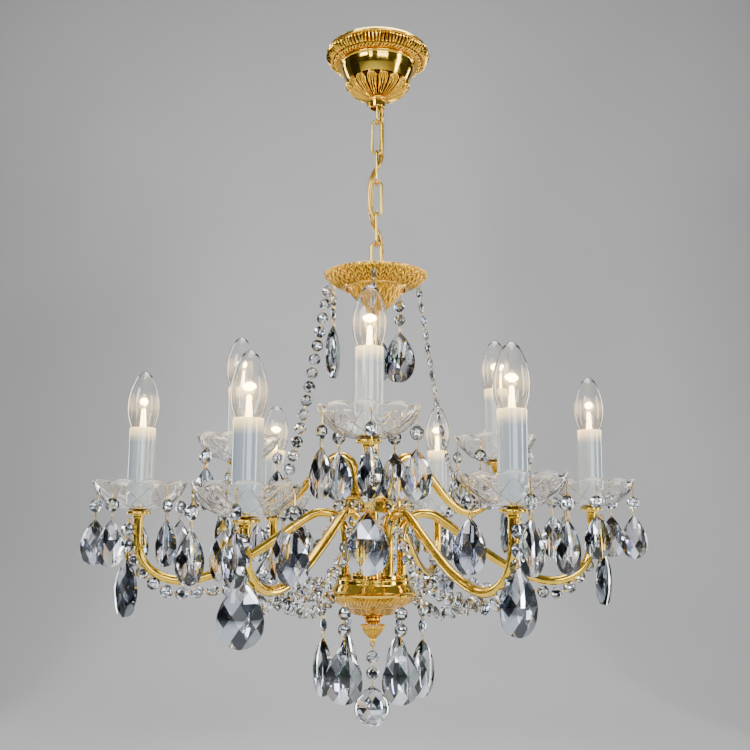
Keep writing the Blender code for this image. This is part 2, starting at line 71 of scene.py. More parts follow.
TIERS = {  # angle of the first foot, and how far out the feet stand
    "lower": {"turn": math.radians(32), "foot": 31},
    "upper": {"turn": math.radians(-1), "foot": 24},
}
ARM_RADIUS = 5
BEAD_RADIUS = 7.2
BEAD_PITCH = 16.6
SMALL_DROP = (48, 29, 8)  # length, width and thickness of a pear drop
LARGE_DROP = (61, 40, 10.5)
CUP_DROP = (59, 41, 10.5)
DISH_RADIUS = 50
DISH_LOBES = 10
SLEEVE_FOOT, SLEEVE_TOP, SLEEVE_RADIUS = 7.1, 91, 13.75
FILAMENT_HEIGHT = 119
LINK_WIRE = 1.7  # radius of the links' wire
LINK_WIDTH = 5.6  # half a link's width, to the middle of its wire
CABLE_RADIUS = 2.75
BALL_RADIUS = 19.5
FEW_MIRRORS = 0.32  # the share of the facets that mirror the room on small stones,
MANY_MIRRORS = 0.48  # and on large drops
CREASE = math.radians(42)  # an edge sharper than this stays sharp

# ---------------------------------------------------------------- meshes


class Shape:
    """Vertices, in metres, and faces collected for one mesh."""

    def __init__(self):
        self.verts, self.faces, self.smooth = [], [], []

    def add(self, part, matrix=None, smooth=True):
        """Adds a (vertices in millimetres, faces) pair, placed by a matrix in metres."""
        verts, faces = part
        base = len(self.verts)
        for point in verts:
            point = Vector(point) * MM
            self.verts.append(matrix @ point if matrix else point)
        self.faces += [[base + index for index in face] for face in faces]
        self.smooth += [smooth] * len(faces)
        return self

    def mesh(self, name, material):
        """The collected faces as a mesh, with their normals outwards and creases sharp."""
        mesh = bpy.data.meshes.new(name)
        mesh.from_pydata(self.verts, [], self.faces)
        mesh.polygons.foreach_set("use_smooth", self.smooth)
        mesh.materials.append(material)
        work = bmesh.new()
        work.from_mesh(mesh)
        bmesh.ops.recalc_face_normals(work, faces=work.faces)
        work.to_mesh(mesh)
        work.free()
        mesh.set_sharp_from_angle(angle=CREASE)
        return mesh


def placed(name, mesh, stands_for=None, body="hanging", matrix=None):
    """One piece of the visual model: it may stand for a CAD node, and it rides on a body."""
    obj = bpy.data.objects.new(name, mesh)
    bpy.context.scene.collection.objects.link(obj)
    if matrix is not None:
        obj.matrix_world = matrix
    if body:
        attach(obj, body)
    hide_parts(*([stands_for] if stands_for else []))
    return obj


def piece(name, shape, material, stands_for=None, body="hanging", matrix=None):
    """A placed piece with a mesh of its own."""
    return placed(name, shape.mesh(name, material), stands_for, body, matrix)


def lathe(profile, steps, closed=True, warp=None):
    """A turned part. The outline runs down the outside and, if it is closed, back up the inside.

    A warp gives the (radius, height) of each row of the outline at each angle.
    """
    verts, rings, faces = [], [], []
    for row, (radius, height) in enumerate(profile):
        count = steps if radius > 1e-4 else 1
        rings.append([len(verts) + step for step in range(count)])
        for step in range(count):
            angle = math.tau * step / steps
            out, up = warp(angle, row) if warp else (radius, height)
            verts.append((out * math.sin(angle), -out * math.cos(angle), up))
    stitch(rings, faces, steps, closed)
    return verts, faces


def stitch(rings, faces, steps, closed, around=True):
    """Fills the strips between following rings of vertices with quads and triangles."""
    following = rings[1:] + ([rings[0]] if closed else [])
    for ring, below in zip(rings, following):
        for step in range(steps if around else steps - 1):
            corners = [ring[step % len(ring)], ring[(step + 1) % len(ring)],
                       below[(step + 1) % len(below)], below[step % len(below)]]
            face = list(dict.fromkeys(corners))
            if len(face) > 2:
                faces.append(face)


def soften(points, radius=0.8, closed=True, cuts=3):
    """An outline with each corner replaced by a short curve."""
    points = [Vector(point) for point in points]
    out = []
    for number, point in enumerate(points):
        if not closed and number in (0, len(points) - 1):
            out.append(point)
            continue
        before, after = points[number - 1] - point, points[(number + 1) % len(points)] - point
        start = point + before.normalized() * min(radius, before.length * 0.45)
        end = point + after.normalized() * min(radius, after.length * 0.45)
        for cut in range(cuts + 1):
            t = cut / cuts
            out.append(start * (1 - t) ** 2 + point * 2 * t * (1 - t) + end * t * t)
    return out


def turned(profile, steps=96, radius=0.8, closed=True):
    """A turned part with rounded edges."""
    return lathe(soften(profile, radius, closed), steps, closed)


def even(points, count):
    """The given number of points, evenly spaced along a line through the points."""
    points = [Vector(point) for point in points]
    runs = [0.0]
    for last, point in zip(points, points[1:]):
        runs.append(runs[-1] + (point - last).length)
    out, part = [], 0
    for number in range(count):
        run = runs[-1] * number / (count - 1)
        while part < len(points) - 2 and runs[part + 1] < run:
            part += 1
        share = (run - runs[part]) / max(runs[part + 1] - runs[part], 1e-9)
        out.append(points[part].lerp(points[part + 1], min(share, 1)))
    return out


def curve(points, step):
    """Points about a step apart along the smooth curve through a route's own points."""
    route = [Vector(point) for point in points]
    ends = [2 * route[0] - route[1], *route, 2 * route[-1] - route[-2]]
    fine = []
    for before, start, end, after in zip(ends, ends[1:], ends[2:], ends[3:]):
        for part in range(12):
            t = part / 12
            fine.append(
                0.5 * (2 * start + (end - before) * t
                       + (2 * before - 5 * start + 4 * end - after) * t * t
                       + (3 * start - before - 3 * end + after) * t ** 3)
            )
    fine.append(route[-1])
    length = sum((b - a).length for a, b in zip(fine, fine[1:]))
    return even(fine, max(2, round(length / step) + 1))


def tube(points, radius, sides=16, cyclic=False):
    """A round tube along the points; its radius may be a function of the share along it."""
    points = [Vector(point) for point in points]
    count = len(points)
    verts, rings, faces = [], [], []
    across = None
    for number, point in enumerate(points):
        before = points[number - 1] if cyclic or number else point
        after = points[(number + 1) % count] if cyclic or number < count - 1 else point
        along = (after - before).normalized()
        across = along.orthogonal() if across is None else across
        across = (across - along * across.dot(along)).normalized()
        side = along.cross(across)
        reach = radius(number / (count - 1)) if callable(radius) else radius
        rings.append([len(verts) + step for step in range(sides)])
        for step in range(sides):
            angle = math.tau * step / sides
            verts.append(point + (across * math.cos(angle) + side * math.sin(angle)) * reach)
    stitch(rings, faces, sides, cyclic)
    if not cyclic:
        faces += [rings[0][::-1], rings[-1]]
    return verts, faces


def relief(outer, inner, steps, rows, height):
    """A turned part whose outside is raised by height(angle, share along the outline), in millimetres."""
    line = even(soften(outer, 1.5, closed=False), rows)
    profile = [tuple(point) for point in line] + list(inner)

    def warp(angle, row):
        if row >= rows:
            return profile[row]
        along = line[min(row + 1, rows - 1)] - line[max(row - 1, 0)]
        out = Vector((-along.y, along.x)).normalized()
        return line[row] + out * height(angle, row / (rows - 1))

    return lathe(profile, steps, True, warp)


def bump(value, middle, width):
    """A smooth bump of height 1 around a value."""
    return math.exp(-(((value - middle) / width) ** 2))


def ramp(value, low, high):
    """0 below low, 1 above high and smooth between them."""
    share = min(1.0, max(0.0, (value - low) / (high - low)))
    return share * share * (3 - 2 * share)


def across_leaf(angle, count):
    """Where an angle lies in its leaf: -0.5 at one edge, 0.5 at the other."""
    return (angle * count / math.tau) % 1 - 0.5


def ball(radius, rings=5, steps=8):
    """A small round bead."""
    profile = [(radius * math.sin(math.pi * k / rings), radius * math.cos(math.pi * k / rings))
               for k in range(rings + 1)]
    return lathe(profile, steps, closed=False)


def polar(radius, angle, height=0.0):
    """A point in metres from a radius and a height in millimetres."""
    return Vector((radius * math.sin(angle), -radius * math.cos(angle), height)) * MM


def beads_around(shape, radius, height, count, size):
    """A ring of small round beads."""
    for number in range(count):
        spot = polar(radius, math.tau * number / count, height)
        shape.add(ball(size), Matrix.Translation(spot))


# ---------------------------------------------------------------- materials


def new_material(name, **constants):
    """A new material, its node tree and its shader, with the values that are the same all over."""
    material = bpy.data.materials.new(name)
    material.use_nodes = True
    shader = material.node_tree.nodes["Principled BSDF"]
    for key, value in constants.items():
        shader.inputs[key.replace("_", " ")].default_value = value
    return material, material.node_tree, shader


def node(tree, kind, settings=None, **inputs):
    """A new node with its settings and the values or links of its inputs."""
    made = tree.nodes.new("ShaderNode" + kind)
    for key, value in (settings or {}).items():
        setattr(made, key, value)
    for key, value in inputs.items():
        socket = made.inputs[int(key[1:])] if key[0] == "i" and key[1:].isdigit() else made.inputs[key]
        if isinstance(value, bpy.types.NodeSocket):
            tree.links.new(value, socket)
        else:
            socket.default_value = value
    return made


def own(tree, axis):
    """A coordinate of the piece's own: its X, Y or Z."""
    return node(tree, "SeparateXYZ", Vector=node(tree, "TexCoord").outputs["Object"]).outputs[axis]


def noise(tree, scale, detail=3.0, stretch=(1, 1, 1)):
    """A noise value over the piece; the scale is in waves per metre."""
    place = node(tree, "TexCoord").outputs["Object"]
    spread = node(tree, "Mapping", Vector=place, Scale=stretch)
    return node(tree, "TexNoise", Vector=spread.outputs[0], Scale=scale, Detail=detail).outputs["Fac"]


def colors(tree, value, *stops):
    """A colour ramp; each stop is (position, colour)."""
    made = node(tree, "ValToRGB", Fac=value)
    ramp_stops = made.color_ramp.elements
    while len(ramp_stops) < len(stops):
        ramp_stops.new(0.5)
    for stop, (position, color) in zip(ramp_stops, stops):
        stop.position = position
        stop.color = (*color, 1)
    return made.outputs["Color"]


def ranged(tree, value, low, high, start=0.0, end=1.0):
    """The value moved from start..end to low..high."""
    made = node(tree, "MapRange", Value=value)
    for key, number in (("From Min", start), ("From Max", end), ("To Min", low), ("To Max", high)):
        made.inputs[key].default_value = number
    return made.outputs["Result"]


def painted(tree, shader, value, *stops):
    """Gives a shader its colour from a ramp over a value."""
    tree.links.new(colors(tree, value, *stops), shader.inputs["Base Color"])


def worn(tree, shader, value, low, high, start=0.0, end=1.0):
    """Gives a shader a roughness from low to high over a value."""
    tree.links.new(ranged(tree, value, low, high, start, end), shader.inputs["Roughness"])


def bumped(tree, shader, height, strength, distance):
    """Gives a shader a bump from a height."""
    made = node(tree, "Bump", Height=height, Strength=strength, Distance=distance)
    tree.links.new(made.outputs["Normal"], shader.inputs["Normal"])


def polished_brass():
    """Lacquered brass with faint tarnish, and a shine that isn't quite even."""
    material, tree, shader = new_material("polished_brass", Metallic=1)
    painted(tree, shader, noise(tree, 45, 5), (0.3, (0.76, 0.47, 0.045)), (0.7, (0.90, 0.62, 0.09)))
    worn(tree, shader, noise(tree, 160, 4), 0.05, 0.17, 0.3, 0.75)
    bumped(tree, shader, noise(tree, 70, 2), 0.12, 0.0006)
    return material


def cast_brass():
    """Gilt cast brass, with painted shade in the hollows of the relief and a painted highlight on its
    ridges.
    """
    material, tree, shader = new_material("cast_brass", Metallic=1)
    # Painted shade and highlight: by pointiness, near black in the hollows and bright on the ridges
    hollow = node(tree, "NewGeometry").outputs["Pointiness"]
    tone = colors(tree, hollow, (0.455, (0.04, 0.015, 0.001)), (0.497, (0.56, 0.27, 0.016)),
                  (0.535, (0.98, 0.63, 0.085)))
    mottle = colors(tree, noise(tree, 120, 6), (0.3, (0.80, 0.72, 0.60)), (0.7, (1, 1, 1)))
    mixed = node(tree, "Mix", {"data_type": "RGBA", "blend_type": "MULTIPLY"}, Factor=0.7)
    tree.links.new(tone, mixed.inputs[6])
    tree.links.new(mottle, mixed.inputs[7])
    tree.links.new(mixed.outputs[2], shader.inputs["Base Color"])
    worn(tree, shader, noise(tree, 300, 4), 0.08, 0.20, 0.3, 0.75)
    bumped(tree, shader, noise(tree, 500, 2), 0.10, 0.0003)
    return material


def chain_brass():
    """Brass wire with fine drawing marks, a little darker than the spun pieces."""
    material, tree, shader = new_material("chain_brass", Metallic=1)
    painted(tree, shader, noise(tree, 90, 5), (0.3, (0.58, 0.37, 0.045)), (0.7, (0.84, 0.60, 0.11)))
    worn(tree, shader, noise(tree, 400, 3), 0.16, 0.30, 0.3, 0.75)
    return material


def zinc_steel():
    """Zinc plated steel with its mottled spangle."""
    material, tree, shader = new_material("zinc_steel", Metallic=1)
    cells = node(tree, "TexVoronoi", Scale=260.0).outputs["Distance"]
    painted(tree, shader, cells, (0.0, (0.46, 0.48, 0.50)), (0.6, (0.70, 0.71, 0.72)))
    worn(tree, shader, noise(tree, 200, 4), 0.28, 0.48)
    return material


def let_through(material, share):
    """Lets shadow rays pass a clear piece, so that it doesn't throw a black shadow."""
    tree = material.node_tree
    out = tree.nodes["Material Output"]
    shader = tree.nodes["Principled BSDF"]
    clear = node(tree, "BsdfTransparent", Color=(share, share, share, 1))
    mixed = node(tree, "MixShader", Fac=node(tree, "LightPath").outputs["Is Shadow Ray"])
    tree.links.new(shader.outputs[0], mixed.inputs[1])
    tree.links.new(clear.outputs[0], mixed.inputs[2])
    tree.links.new(mixed.outputs[0], out.inputs["Surface"])


def crystal():
    """Cut lead crystal. Some facets mirror the room; facets carry painted shade and painted coloured glints;
    handling leaves a haze.
    """
    material, tree, shader = new_material("crystal", Transmission_Weight=1, IOR=1.62)
    # Painted light: each facet's colour gives it painted shade, a painted glint or a dark or bright painted
    # reflection
    painted_facet_light = node(tree, "Attribute", {"attribute_name": "painted_facet_light"}).outputs["Color"]
    tree.links.new(painted_facet_light, shader.inputs["Base Color"])
    mirror = node(tree, "Attribute", {"attribute_name": "mirror"}).outputs["Fac"]
    tree.links.new(mirror, shader.inputs["Metallic"])
    worn(tree, shader, noise(tree, 150, 3), 0.0, 0.012, 0.45, 0.8)
    let_through(material, 0.9)
    return material


def dish_glass():
    """Pressed and cut glass of the dishes, with the slight waves of pressing and a milkier rim."""
    material, tree, shader = new_material("dish_glass", Transmission_Weight=1, IOR=1.36)
    painted(tree, shader, noise(tree, 40, 3), (0.3, (0.97, 0.93, 0.88)), (0.7, (1.0, 0.99, 0.97)))
    worn(tree, shader, noise(tree, 120, 3), 0.0, 0.03, 0.4, 0.8)
    bumped(tree, shader, noise(tree, 110, 2), 0.06, 0.001)
    clear = ranged(tree, own(tree, "Z"), 1.0, 0.72, 30 * MM, 34 * MM)
    tree.links.new(clear, shader.inputs["Transmission Weight"])
    let_through(material, 0.88)
    return material


def painted_cut_shade():
    """Painted shade along the dishes' cuts: dark grey lines that stand in for the shade seen in them."""
    material, tree, shader = new_material("painted_cut_shade")
    painted(tree, shader, noise(tree, 500, 2), (0.3, (0.07, 0.065, 0.055)), (0.7, (0.20, 0.19, 0.16)))
    worn(tree, shader, noise(tree, 900, 2), 0.3, 0.5)
    let_through(material, 0.8)
    return material


def bulb_glass():
    """Thin clear glass of a lit bulb, tinted warmer towards its neck, with a painted warm glow in a band
    around the filament.
    """
    material, tree, shader = new_material("bulb_glass", Transmission_Weight=1, IOR=1.45,
                                          Emission_Color=(1.0, 0.66, 0.22, 1))
    height = own(tree, "Z")
    tint = ranged(tree, height, 0.0, 1.0, 85 * MM, 120 * MM)
    painted(tree, shader, tint, (0.0, (1.0, 0.93, 0.78)), (0.7, (1.0, 0.98, 0.93)), (1.0, (1, 1, 1)))
    worn(tree, shader, noise(tree, 80, 2), 0.0, 0.03)
    # Painted glow: a faint warm emission on the glass within 12 mm of the filament's height
    above = node(tree, "Math", {"operation": "SUBTRACT"}, i0=height, i1=117 * MM).outputs[0]
    away = node(tree, "Math", {"operation": "ABSOLUTE"}, i0=above).outputs[0]
    tree.links.new(ranged(tree, away, 0.22, 0.0, 0.0, 12 * MM), shader.inputs["Emission Strength"])
    let_through(material, 0.95)
    return material


def filament():
    """Glowing tungsten, hottest in the middle of its coil."""
    material, tree, shader = new_material("filament")
    heat = noise(tree, 600, 2)
    tree.links.new(colors(tree, heat, (0.3, (1.0, 0.68, 0.20)), (0.7, (1.0, 0.78, 0.30))),
                   shader.inputs["Emission Color"])
    away = node(tree, "Math", {"operation": "ABSOLUTE"}, i0=own(tree, "X")).outputs[0]
    tree.links.new(ranged(tree, away, 80.0, 10.0, 1 * MM, 7.5 * MM), shader.inputs["Emission Strength"])
    return material


def lit_stem():
    """The glass mount inside a bulb, with a painted glow, brighter towards the top, that stands in for the
    coil's light from above.
    """
    material, tree, shader = new_material("lit_stem", Transmission_Weight=0.5, Roughness=0.1)
    lit = ranged(tree, own(tree, "Z"), 0.0, 1.0, 76 * MM, 108 * MM)
    tree.links.new(colors(tree, lit, (0.0, (1.0, 0.62, 0.20)), (1.0, (1.0, 0.80, 0.36))),
                   shader.inputs["Emission Color"])
    tree.links.new(ranged(tree, lit, 3.0, 8.0), shader.inputs["Emission Strength"])
    return material


def candle_plastic():
    """Glossy white plastic sleeve, coloured a darker blue grey as painted shade; its top turns cream with a
    painted glow for the lamp inside.
    """
    material, tree, shader = new_material("candle_plastic", Coat_Weight=0.8, Coat_Roughness=0.05,
                                          Emission_Color=(1.0, 0.66, 0.20, 1))
    # Painted shade and glow: blue grey up to 75 mm, then cream with a rising emission towards the top
    warm = ranged(tree, own(tree, "Z"), 0.0, 1.0, 75 * MM, SLEEVE_TOP * MM)
    painted(tree, shader, warm, (0.0, (0.29, 0.345, 0.39)), (0.4, (0.44, 0.44, 0.42)),
            (1.0, (0.85, 0.70, 0.42)))
    worn(tree, shader, noise(tree, 60, 3), 0.10, 0.18)
    risen = node(tree, "Math", {"operation": "POWER"}, i0=warm, i1=1.8)
    tree.links.new(ranged(tree, risen.outputs[0], 0.0, 2.4), shader.inputs["Emission Strength"])
    bumped(tree, shader, noise(tree, 90, 2, (1, 1, 0.15)), 0.12, 0.0010)
    return material


def cable_sheath():
    """Clear gold sheath over a laid cord: a fine slanted pattern under a gloss."""
    material, tree, shader = new_material("cable_sheath", Metallic=0.92, Coat_Weight=1, Coat_Roughness=0.06)
    place = node(tree, "TexCoord").outputs["Object"]
    lay = node(tree, "TexWave", {"wave_type": "BANDS", "bands_direction": "DIAGONAL"},
               Vector=place, Scale=160.0, Distortion=0.6, Detail=1.0).outputs["Fac"]
    painted(tree, shader, lay, (0.2, (0.42, 0.21, 0.015)), (0.8, (0.95, 0.60, 0.09)))
    worn(tree, shader, noise(tree, 300, 3), 0.16, 0.30)
    bumped(tree, shader, lay, 0.4, 0.0004)
    return material


def moulded_plastic(name, light, dark):
    """Moulded plastic with its fine grain."""
    material, tree, shader = new_material(name)
    painted(tree, shader, noise(tree, 150, 4), (0.3, dark), (0.7, light))
    worn(tree, shader, noise(tree, 500, 2), 0.38, 0.55)
    bumped(tree, shader, noise(tree, 1500, 2), 0.15, 0.0002)
    return material


BRASS = polished_brass()
CAST = cast_brass()
WIRE = chain_brass()
STEEL = zinc_steel()
CRYSTAL = crystal()
DISH = dish_glass()
CUT = painted_cut_shade()
BULB = bulb_glass()
FILAMENT = filament()
STEM_GLASS = lit_stem()
CANDLE = candle_plastic()
CABLE = cable_sheath()
IVORY = moulded_plastic("terminal_plastic", (0.86, 0.84, 0.78), (0.78, 0.76, 0.70))

# ---------------------------------------------------------------- where the arms stand


def arm_places(label):
    """(foot, aim, cup) of each arm of a tier, worked out from where its bulb turns; in metres."""
    tier = TIERS[label]
    names = sorted(name for name in JOINTS if name.startswith(label + "_bulb_"))
    found = []
    for number, name in enumerate(names):
        cup = Vector(JOINTS[name]["pos_m"])
        foot = polar(tier["foot"], tier["turn"] + number * math.tau / len(names))
        way = cup - foot
        found.append((foot, math.atan2(way.x, -way.y), cup))
    return found


def at(place, turn=0.0):
    """The matrix that moves something to a place and turns it about Z."""
    return Matrix.Translation(place) @ Matrix.Rotation(turn, 4, "Z")


# ---------------------------------------------------------------- canopy


def ring_leaves(angle, share):
    """Relief of the canopy ring: an outer band of fanned leaves and an inner band of small curled ones."""
    u = across_leaf(angle, 18)
    body = max(0.0, 1 - (2 * u) ** 2) ** 0.35
    fan = math.cos(math.tau * 5 * u * (1.05 - 0.35 * share))
    outer = (0.5 + 1.1 * body + 1.1 * body * fan) * ramp(share, 0.02, 0.1) * (1 - ramp(share, 0.52, 0.62))
    v = across_leaf(angle, 36)
    curl = math.cos(math.tau * 2 * v + 9 * share) * bump(share, 0.76, 0.13)
    inner = (1.3 * max(0.0, 1 - (2 * v) ** 2) ** 0.5 + 0.9 * curl) * bump(share, 0.76, 0.14)
    return outer + inner - 0.5 * bump(share, 0.6, 0.03)


def cap_leaves(angle, share):
    """Relief of the leaf cap: sixteen round tipped leaves, each with a raised double rim and a vein."""
    u = abs(2 * across_leaf(angle, 16))
    tip = 1 - ((0.2 - share) / 0.2) ** 2 if share < 0.2 else 1.0
    edge = 0.94 * math.sqrt(max(0.0, tip))
    inside = 1 - ramp(u, edge - 0.1, edge)
    rim = 0.95 * bump(u, edge - 0.2, 0.11) + 0.6 * bump(u, edge - 0.55, 0.1) * (1 - ramp(share, 0.4, 0.9))
    ribs = 0.85 * math.cos(math.tau * 1.75 * u) * ramp(share, 0.12, 0.4)
    gap = 1.8 if share < 0.3 else 1.4 * (1 - ramp(share, 0.85, 1.0))
    return inside * (0.9 + rim + ribs) - (1 - inside) * gap


def canopy():
    """The ring, the cup, the leaf cap and the collar, which slide up and down the chain together."""
    outside = [(59.4, -4.6), (58.6, -8.2), (55.4, -12.4), (50, -15.8), (46, -17.6), (44.9, -17.6)]
    inside = [(44.9, -16), (50, -13.6), (55, -9.6), (57.2, -6), (57.2, -4.4)]
    ring = Shape().add(relief(outside, inside, 540, 30, ring_leaves))
    piece("canopy_ring_cast", ring, CAST, "canopy_ring", "canopy")
    rim = Shape().add(turned([(58.6, -0.1), (60.4, -2.8), (60.9, -4), (60.2, -5.2), (58, -5), (57.2, -0.1)],
                             128, 0.5))
    piece("canopy_rim", rim, BRASS, "canopy_ring", "canopy")
    profile = [(49.5, -11.6), (49.5, -12.8), (43.6, -13.4), (43.6, -17.4), (45.1, -18.2), (45.1, -19.9),
               (43.5, -20.6), (43, -25), (41, -31), (36, -41.5), (28, -50.5), (13, -55.8), (13, -54.6),
               (27.3, -49.4), (35, -40.8), (39.9, -30.6), (42.4, -20), (42.4, -11.6)]
    piece("canopy_cup_spun", Shape().add(turned(profile, 128, 2.0)), BRASS, "canopy_cup", "canopy")
    outside = [(38, -41.4), (36.4, -43.8), (30.6, -50.6), (24, -54.2), (16, -57), (11, -58), (9.2, -58.4)]
    inside = [(8.4, -57.1), (13, -56.2), (28.8, -51), (36.6, -41.6)]
    cap = Shape().add(relief(outside, inside, 512, 34, cap_leaves))
    piece("canopy_leaves", cap, CAST, "canopy_leaf_cap", "canopy")
    profile = [(10, -58.9), (10, -60.4), (8.8, -61), (8.8, -63), (9.3, -63.6), (9.3, -71), (8.8, -72),
               (7.8, -72), (7.8, -58.9)]
    piece("canopy_sleeve", Shape().add(turned(profile, 64, 0.4)), BRASS, "canopy_collar", "canopy")
    clamp_screw()


def clamp_screw():
    """The knurled screw that clamps the collar; it points along -X."""
    def knurl(angle, row):
        radius, height = profile[row]
        return (radius + (0.12 * math.cos(18 * angle) if row in (1, 2) else 0), height)

    profile = [(0, 5.0), (2.2, 5.0), (2.3, 3.0), (1.5, 2.6), (1.5, 0), (0, 0)]
    side = Matrix.Translation((-7.6 * MM, 0, -67 * MM)) @ Matrix.Rotation(-math.pi / 2, 4, "Y")
    shape = Shape().add(lathe(profile, 72, False, knurl), side)
    piece("clamp_screw_knurled", shape, BRASS, "clamp_screw", "canopy")


def ceiling_parts():
    """The bracket, the hook and the terminal block keep their CAD shapes and get their materials."""
    for name, material in (("ceiling_bracket", STEEL), ("ceiling_hook", STEEL), ("terminal_block", IVORY)):
        slots = frame["nodes"][name].material_slots
        for number in range(len(slots)):
            slots[number].material = material


# ---------------------------------------------------------------- chain and cable


def chain():
    """Six long links of round wire; each is turned a quarter from the one above."""
    for number in range(6):
        name = f"chain_link_{number + 1}"
        low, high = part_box(name)
        middle = (low.z + high.z) / 2
        half = (high.z - low.z) / 2 / MM - LINK_WIRE - LINK_WIDTH
        route = []
        for end in (1, -1):
            for step in range(13):
                angle = math.pi * step / 12
                up = half + LINK_WIDTH * math.sin(angle)
                route.append((end * LINK_WIDTH * math.cos(angle), 0, end * up))
        across = high.x - low.x < high.y - low.y
        body = "root" if number < 4 else "swing_link" if number == 4 else "hanging"
        shape = Shape().add(tube(route, LINK_WIRE, 16, cyclic=True),
                            at((0, 0, middle), math.pi / 2 if across else 0))
        piece(name + "_wire", shape, WIRE, name, body)


# The cable's route, woven through the links, as in the CAD model
CABLE_ROUTE = [
    (19, 17, -17.6), (16.5, 15.6, -25), (10.5, 11.6, -34), (6.4, 8.4, -42), (4.9, 6.2, -48),
    (4.9, 5, -52), (4.85, 3.2, -55.6), (4.8, 1.9, -57.8), (4.75, 0.7, -60), (4.75, 0, -65), (4.8, 0.3, -72),
    (5.2, 3, -79), (5.6, 5.2, -87), (5.6, 5.6, -100), (5.6, 5.5, -113), (5.4, 5.1, -124), (5.1, 4.9, -131),
    (4.1, 2.1, -137), (2.2, 0.6, -142), (0, 0, -146), (-2.2, -0.6, -150), (-4.3, -2.3, -155),
    (-6.1, -4.8, -161), (-7.6, -5.3, -170), (-8.4, -5.4, -182), (-7.6, -5.3, -194), (-6.2, -5.2, -203),
    (-5.0, -4.6, -208), (-4.1, -2.2, -213.5), (-2.2, -0.6, -218), (0, 0, -221.5), (2.2, 0.6, -225),
    (4.2, 2.2, -229.5), (5.4, 4.9, -235), (5.7, 5.6, -245), (6.2, 6.2, -258), (7.6, 7.6, -270),
    (9.2, 9.2, -280), (9.4, 9.4, -288), (9.4, 9.4, -294),
]


def cable():
    """The cable, in two stretches that meet inside the fifth link."""
    points = curve(CABLE_ROUTE, 2)
    middle = sum(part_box("chain_link_5"), Vector()).z / 2 / MM
    split = min(range(len(points)), key=lambda number: abs(points[number].z - middle))
    stretches = (
        ("cable_upper", points[:split + 1], "root", "swing_link", "swing_front"),
        ("cable_lower", points[split:], "swing_link", "hanging", "swing_side"),
    )
    for name, part, upper, lower, joint in stretches:
        obj = piece(name, Shape().add(tube(part, CABLE_RADIUS, 16)), CABLE, "supply_cable", None)
        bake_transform(obj)


# ---------------------------------------------------------------- crown, stem, drums and bowl


def dense_leaves(leaves, depth):
    """Relief of close-set leaves, each ribbed and notched like acanthus."""
    def height(angle, share):
        u = across_leaf(angle, leaves)
        body = max(0.0, 1 - (2 * u) ** 2) ** 0.4
        ribs = math.cos(math.tau * 2 * u)
        notch = math.cos(math.tau * (3.5 * share + 0.9 * abs(2 * u)))
        return depth * (body + 0.3 * body * ribs + 0.35 * notch) * bump(share, 0.5, 0.62)

    return height


def crown():
    """The eye, the beaded dish and the leaf cast cone under it."""
    eye = Shape()
    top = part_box("crown_loop")[1].z / MM - LINK_WIRE - LINK_WIDTH
    arch = [(0, LINK_WIDTH * math.cos(math.pi * k / 12), top + LINK_WIDTH * math.sin(math.pi * k / 12))
            for k in range(13)]
    eye.add(tube([(0, LINK_WIDTH, -284), *arch, (0, -LINK_WIDTH, -284)], LINK_WIRE, 16))
    eye.add(turned([(0, -282.3), (8.6, -282.3), (8.6, -285.2), (0, -285.2)], 48, 0.6, closed=False))
    piece("crown_eye", eye, BRASS, "crown_loop")

    dish = Shape()
    outside = [(57.6, -276.6), (52, -281.9), (44, -286.8), (38, -290)]
    inside = [(35.8, -291.9), (34.2, -292.2), (34.2, -287.1), (5.4, -287.1), (5.4, -285.5), (36, -285.5),
              (43.4, -285), (51, -280.6), (56.6, -274.8), (58, -274.6)]
    dish.add(relief(outside, inside, 480, 20, dense_leaves(32, 1.3)))
    dish.add(turned([(38.4, -290), (37.6, -291.8), (35.4, -292.6), (35.2, -290.4)], 96, 0.4))
    beads_around(dish, 58.1, -275.9, 66, 1.75)
    piece("crown_dish_cast", dish, CAST, "crown_dish")

    cone = Shape()
    outside = [(33, -289.6), (25.6, -299), (18.4, -307.4), (12.6, -314), (8.4, -319)]
    inside = [(7.6, -320.4), (5.4, -320.6), (5.4, -318.8), (7, -318.4), (17.4, -306.8), (31.8, -290),
              (31.8, -287.6), (33.4, -287.6)]
    cone.add(relief(outside, inside, 360, 24, dense_leaves(18, 1.2)))
    piece("crown_cone_cast", cone, CAST, "crown_cup")


def stem_and_drums():
    """The stem with its collars, and the two drums that the arms stand on."""
    profile = [(5, -285.7), (5, -321), (7, -321.8), (7.6, -324), (7, -326.2), (5, -327.4), (5, -515.6),
               (6.4, -516.4), (8, -518.4), (8, -527.7), (5, -527.7), (5, -607), (6.4, -608), (8.5, -610),
               (8.5, -616.7), (5, -616.7), (5, -665), (3.2, -665), (3.2, -285.7)]
    piece("stem_tube", Shape().add(turned(profile, 48, 0.5)), BRASS, "stem")
    profile = [(5.4, -528), (36, -528), (37, -529.2), (36, -531), (32.5, -533), (32.5, -545), (31.2, -545),
               (31.2, -532.4), (30, -529.6), (5.4, -529.6)]
    piece("upper_drum_spun", Shape().add(turned(profile, 96, 0.6)), BRASS, "upper_drum")
    profile = [(5.4, -617), (39.4, -617), (40.4, -617.8), (40.4, -621.4), (41.6, -622.4), (43.6, -625.4),
               (46.4, -629.6), (49.6, -630.6), (49.4, -631), (47.6, -631), (42.2, -624.4), (39, -618.8),
               (5.4, -618.8)]
    piece("base_drum_spun", Shape().add(turned(profile, 96, 0.5)), BRASS, "base_drum")


